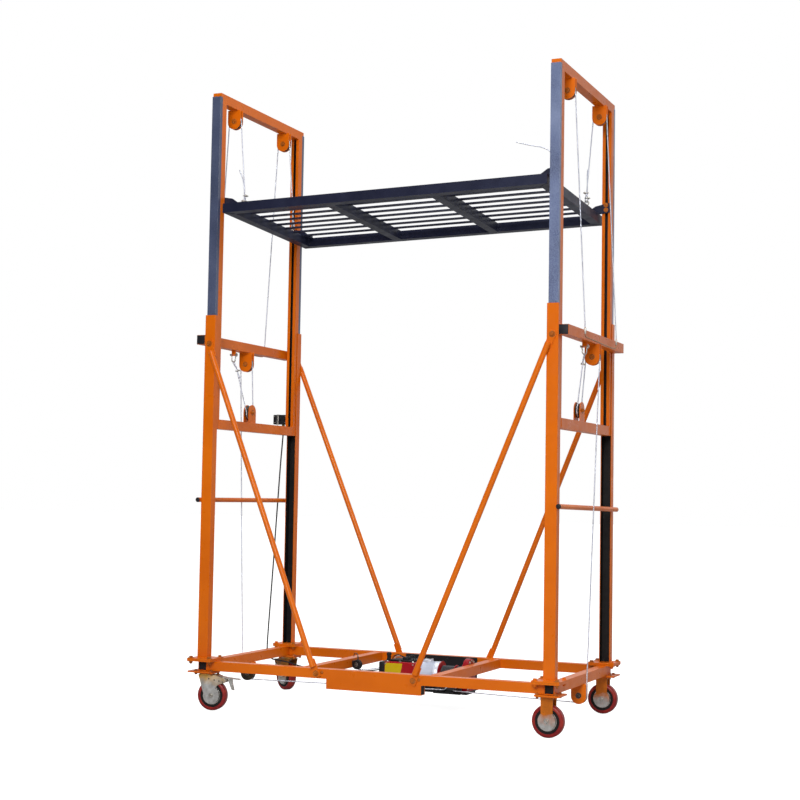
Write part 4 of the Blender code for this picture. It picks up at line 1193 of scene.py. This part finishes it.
def build_hoist_wiring(top):
    """Terminal tray with looped leads and a gland on top of the winch housing."""
    shape = Shape()
    shape.block((-0.128, 0.074, top - 0.0005), (0.006, 0.186, top + 0.010), 0.0025)
    shape.turned((-0.143, 0.098, top - 0.001), Z, mm((13, 0), (13, 10), (10.5, 12), (10.5, 30), (13.5, 32),
        (13.5, 42), (8, 46)), 36)
    shape.block((-0.060, 0.090, top + 0.008), (-0.028, 0.140, top + 0.024), 0.0025)
    shape.piece("terminal_tray", "plastic")
    leads = (mm((-118, 90, 12), (-112, 92, 26), (-90, 98, 34), (-68, 104, 26), (-52, 112, 20)),
             mm((-120, 120, 12), (-108, 118, 22), (-86, 112, 27), (-66, 118, 20), (-56, 124, 15)),
             mm((-36, 96, 20), (-22, 88, 34), (-6, 84, 32), (2, 90, 18), (0, 98, 8)),
             mm((-36, 128, 20), (-20, 130, 30), (-6, 128, 24), (0, 124, 8)))
    finishes = ("rubber", "white_tie", "rubber", "rubber")
    for number, (route, finish) in enumerate(zip(leads, finishes), 1):
        shape = Shape()
        shape.tube(smooth_path(moved((0, 0, top), route), 8), 0.0028, 10)
        shape.piece(f"lead_{number}", finish, sharp=60)


def build_motor():
    """Ribbed motor on the drum's axis, with its foot."""
    low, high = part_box("winch_motor")
    y, z, r = (low.y + high.y) / 2, 0.195, 0.0628
    start, end = low.x, high.x
    fins = []
    x = start + 0.030
    while x < end - 0.030:
        fins += [(r + dr, x + dx) for dr, dx in mm((-5.5, 0), (-0.8, 0.4), (-0.8, 3), (-5.5, 3.4))]
        x += 0.0064
    front = [(r + dr, start + dx) for dr, dx in mm((-6, 0), (-1, 4), (0, 7), (0, 26), (-3.5, 28))]
    back = [(r + dr, end + dx) for dr, dx in mm((-3.5, -28), (0, -26), (0, -5), (-3, 0))]
    profile = [(0.014, start)] + front + fins + back + [(0.014, end)]
    shape = Shape()
    shape.turned((0, y, z), X, profile, 80, closed=True)
    shape.block((0.050, y - 0.022, z + 0.052), (0.096, y + 0.022, z + 0.072), 0.004)
    shape.piece("motor_casing", "silver", "root", ["winch_motor"])
    shape = Shape()
    shape.block((0.040, 0.085, 0.1143), (0.130, 0.175, 0.150), 0.004)
    shape.piece("motor_foot", "black")
    shape = Shape()
    for i in range(4):
        a = math.radians(45 + 90 * i)
        at = (end, y + 0.050 * math.cos(a), z + 0.050 * math.sin(a))
        shape.head(at, X, 0.008, 0.0024)
    for dx in (0.055, 0.091):
        for dy in (-0.016, 0.016):
            shape.head((dx, y + dy, z + 0.072), Z, 0.006, 0.0022)
    shape.piece("motor_screws", "steel")


def build_drum():
    """Flanges, core and windings of the rope drum."""
    centre = Vector(joint_of("drum_spin")["pos_m"])
    low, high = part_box("winch_drum")
    width = high.x - low.x
    origin = (low.x, centre.y, centre.z)
    for name, start, way in (("left", 0.0, 1), ("right", width, -1)):
        shape = Shape()
        rim = mm((12.6, 0.2), (18, 0.2), (56, 1.2), (60, 0.2), (65, 0.2), (66, 1.2), (66, 4.2), (65, 5.2),
            (38.5, 6), (12.6, 6))
        shape.turned((origin[0] + start, centre.y, centre.z), X * way, rim, 96, closed=True)
        shape.piece("drum_flange_" + name, "red", "drum",
                    ["winch_drum"] if name == "left" else [])
    shape = Shape()
    shape.turned(origin, X, [(0.0126, 0.0062), (0.0380, 0.0062), (0.0380, width - 0.0062),
                             (0.0126, width - 0.0062)], 64, closed=True)
    shape.piece("drum_core", "black", "drum")
    shape = Shape()
    shape.turned((0.236, centre.y, centre.z), X, mm((38.2, -3), (49, -3), (50.2, -1.8), (50.2, 1.8),
        (49, 3), (38.2, 3)), 80, closed=True)
    shape.piece("drum_middle_flange", "red", "drum")
    shape = Shape()
    per_turn, pitch, r = 28, 0.0062, 0.0412
    for first, turns in ((low.x + 0.0095, 11), (0.2425, 5)):
        path = []
        for k in range(turns * per_turn + 1):
            a = 2 * math.pi * k / per_turn
            path.append((first + pitch * k / per_turn, centre.y + r * math.cos(a),
                centre.z + r * math.sin(a)))
        shape.tube(path, ROPE_R, 8, pitch=ROPE_LAY)
    # the windings take the darker rope finish: painted shade
    shape.piece("drum_windings", "rope_painted_shade", "drum", sharp=60)


def build_gearbox_fittings():
    """Screws and cap of the gearbox, and the tie bars."""
    low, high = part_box("winch_gearbox")
    y, z = 0.130, 0.195
    shape = Shape()
    face = high.x
    for i in range(7):
        a = math.radians(30 * i)
        shape.head((face, y + 0.053 * math.cos(a), 0.218 + 0.053 * math.sin(a)), X, 0.008, 0.0036, spin=i)
    for dy in (-0.052, 0.052):
        shape.head((face, y + dy, 0.135), X, 0.010, 0.0045)
    shape.piece("gearbox_screws", "steel")
    shape = Shape()
    cap = mm((30, 0), (30, 3), (27, 6), (16, 6.8), (14, 9.5), (8, 10.5))
    shape.turned((face - 0.0005, y, z), X, cap, 48)
    shape.piece("gearbox_cap", "red")
    shape = Shape()
    for dy in (-0.056, 0.056):
        shape.turned((0.1462, y + dy, 0.132), X, [(0.0050, 0), (0.0050, low.x - 0.1464)], 24)
    shape.piece("tie_bars", "black")


def build_guide_bolts():
    """Bolts of the rope guides and of the cradle."""
    shape = Shape()
    for x, level in GUIDES.values():
        shape.head((x, GUIDE_Y, level + 0.0091), Z, 0.013, 0.0050, spin=x)
    for x in (-0.165, -0.060, 0.060, 0.205):
        shape.head((x, 0.4386, 0.236), -Y, 0.013, 0.0060, spin=x * 7)
    shape.piece("cradle_bolts", "black")


def build_hook_block():
    """Spare hook block parked on the left cross member, and its rope to the winch."""
    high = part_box("cross_member_left")[1]
    x, y, z = high.x + 0.0290, 0.046, 0.224
    shape = Shape()
    cheek = mm((6, -13.5), (23, -13.5), (25.5, -11), (26.2, -5), (24, -3))
    shape.turned((x, y, z), Y, both_sides(cheek), 56, closed=True)
    shape.block((x - 0.0280, y - 0.0080, z - 0.0070), (x - 0.0200, y + 0.0080, z + 0.0200), 0.0012)
    shape.piece("hook_block", "black")
    shape = Shape()
    shape.turned((x, y - 0.0136, z), -Y, mm((12, 0), (12, 1.8), (10, 3)), 36)
    shape.head((x, y - 0.0166, z), -Y, 0.010, 0.0045)
    hook = moved((x, y, z), mm((4, 0, 22), (4, 0, 36)))
    hook += moved((x, y, high.z), mm((2, 0, 16), (-5, 1, 27), (-14, 2, 28), (-21, 3, 20), (-22, 3, 10)))

    def thickness(t):
        return 0.0036 - 0.0014 * t
    shape.tube(smooth_path(hook, 6), thickness, 14)
    shape.piece("parked_hook", "dark_iron", sharp=60)
    line = moved((x, y, z), mm((4, 0, -26.5), (30, 16, -25.5), (80, 36, -21), (115, 50, -14)))
    line.append(Vector((-0.1885, y + 0.056, z - 0.011)))
    rope(smooth_path(line, 6), "parked_rope", "root")
    shape = Shape()
    lead = [Vector((x + 0.010, y + 0.012, z - 0.033))] + moved((0.002, 0.010, -0.009), line[1:])
    shape.tube(smooth_path(lead, 6), 0.0035, 10)
    shape.piece("parked_lead", "rubber", sharp=60)


build_hoist()
build_motor()
build_drum()
build_gearbox_fittings()
build_guide_bolts()
build_hook_block()


# ---------- switch box
def build_switch_fittings():
    """Strap, screws, buttons and gland of the switch box."""
    low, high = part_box("switch_box")
    shape = Shape()
    for x in (low.x + 0.010, high.x - 0.010):
        for z in (1.554, high.z - 0.010):
            shape.turned((x, low.y, z), -Y, mm((3.8, 0), (3.8, 1), (3, 2)), 20)
    strap_x = low.x + 0.030
    shape.block((strap_x - 0.006, low.y - 0.0016, 1.540), (strap_x + 0.006, low.y - 0.0002,
        high.z + 0.0016), 0.0005)
    shape.block((strap_x - 0.006, low.y - 0.0016, high.z + 0.0002),
        (strap_x + 0.006, high.y, high.z + 0.0016), 0.0005)
    hook = moved((strap_x, low.y, 1.5), mm((0, -1, 42), (0, -3, 30), (4, -3, 18), (13, -3, 14),
        (19, -3, 21)))
    shape.tube(smooth_path(hook, 6), 0.0022, 10)
    shape.piece("switch_strap", "steel")
    shape = Shape()
    for x in (low.x + 0.046, low.x + 0.070):
        shape.turned((x, low.y + 0.0002, 1.574), -Y, mm((8.5, 0), (8.5, 3), (7, 3.4), (7, 6), (6, 7.2)), 32)
    shape.piece("switch_buttons", "black", slot="black_plastic")
    exit_x, exit_y, exit_z = CABLE_ROUTE[0]
    shape = Shape()
    shape.turned((exit_x, exit_y, 1.5440), -Z, mm((10.2, 0), (10.2, 10), (12.5, 10.5), (12.5, 18),
        (10.2, 18.5), (9.8, 23.6)), 6)
    shape.piece("switch_gland_nut", "brass")
    shape = Shape()
    shape.turned((exit_x, exit_y, exit_z + 0.0003), -Z, mm((4.2, 0), (8.5, 0), (7.8, 10), (6, 26),
        (5.4, 34), (4.2, 34)), 32, closed=True)
    shape.piece("switch_strain_relief", "rubber")
    last, before = Vector(CABLE_ROUTE[-1]), Vector(CABLE_ROUTE[-2])
    back = (before - last).normalized()
    shape = Shape()
    shape.turned(last + X * 0.0007, back, mm((4.2, 0), (9.5, 0), (9, 6), (6.2, 24), (5.5, 32), (4.2, 32)),
        32, closed=True)
    shape.piece("winch_strain_relief", "rubber")


build_switch_fittings()


# ---------- floor, light, world
def build_stage():
    """Plain pale floor; the camera sees it a little brighter, so that it meets the backdrop."""
    bm = bmesh.new()
    bmesh.ops.create_grid(bm, x_segments=2, y_segments=2, size=60)
    mesh = bpy.data.meshes.new("floor")
    bm.to_mesh(mesh)
    bm.free()
    floor = in_scene("floor", mesh)
    n = Nodes("pale_floor", 0.7, specular=0.1)
    tone = n.ramp(n.noise(1.5, 3), [(0.3, (0.42, 0.42, 0.42)), (0.7, (0.45, 0.45, 0.45))])
    n.shader.inputs["Emission Color"].default_value = (1, 1, 1, 1)
    path = n.add("ShaderNodeLightPath")
    n.link(n.maths("MULTIPLY", path.outputs["Is Camera Ray"], 0.92), n.shader.inputs["Emission Strength"])
    floor.data.materials.append(n.wire(tone, n.patches(30, 3, 0.65, 0.75), None))


def build_light(name, place, target, size, power):
    data = bpy.data.lights.new(name, "AREA")
    data.shape = "DISK"
    data.size = size
    data.energy = power
    light = in_scene(name, data)
    look = Vector(target) - Vector(place)
    light.matrix_world = Matrix.Translation(place) @ look.to_track_quat("-Z", "Y").to_matrix().to_4x4()


def build_world():
    """Soft studio: bright above and behind, dim in front, and white where the camera sees it."""
    world = bpy.data.worlds.new("studio")
    world.use_nodes = True
    tree = world.node_tree
    shade = tree.nodes["Background"]
    source = tree.nodes.new("ShaderNodeTexCoord")
    facing = tree.nodes.new("ShaderNodeVectorMath")
    facing.operation = "DOT_PRODUCT"
    facing.inputs[1].default_value = (0.05, 0.80, 0.60)
    span = tree.nodes.new("ShaderNodeMapRange")
    for socket, value in (("From Min", -0.50), ("From Max", 0.75), ("To Min", 0.03), ("To Max", 0.72)):
        span.inputs[socket].default_value = value
    tree.links.new(source.outputs["Generated"], facing.inputs[0])
    tree.links.new(facing.outputs["Value"], span.inputs["Value"])
    tree.links.new(span.outputs["Result"], shade.inputs["Strength"])
    shade.inputs["Color"].default_value = (0.96, 0.98, 1.0, 1)
    seen = tree.nodes.new("ShaderNodeBackground")
    seen.inputs["Color"].default_value = (1, 1, 1, 1)
    path = tree.nodes.new("ShaderNodeLightPath")
    mix = tree.nodes.new("ShaderNodeMixShader")
    tree.links.new(path.outputs["Is Camera Ray"], mix.inputs["Fac"])
    tree.links.new(shade.outputs["Background"], mix.inputs[1])
    tree.links.new(seen.outputs["Background"], mix.inputs[2])
    tree.links.new(mix.outputs["Shader"], tree.nodes["World Output"].inputs["Surface"])
    bpy.context.scene.world = world
    bpy.context.scene.view_settings.view_transform = "Standard"


build_stage()
build_world()
build_light("key", (2.5, -9.0, 4.5), (0, 0, 1.4), 4.0, 660)
build_light("top", (0.5, 0.5, 9.0), (0, 0, 1.5), 6.0, 420)
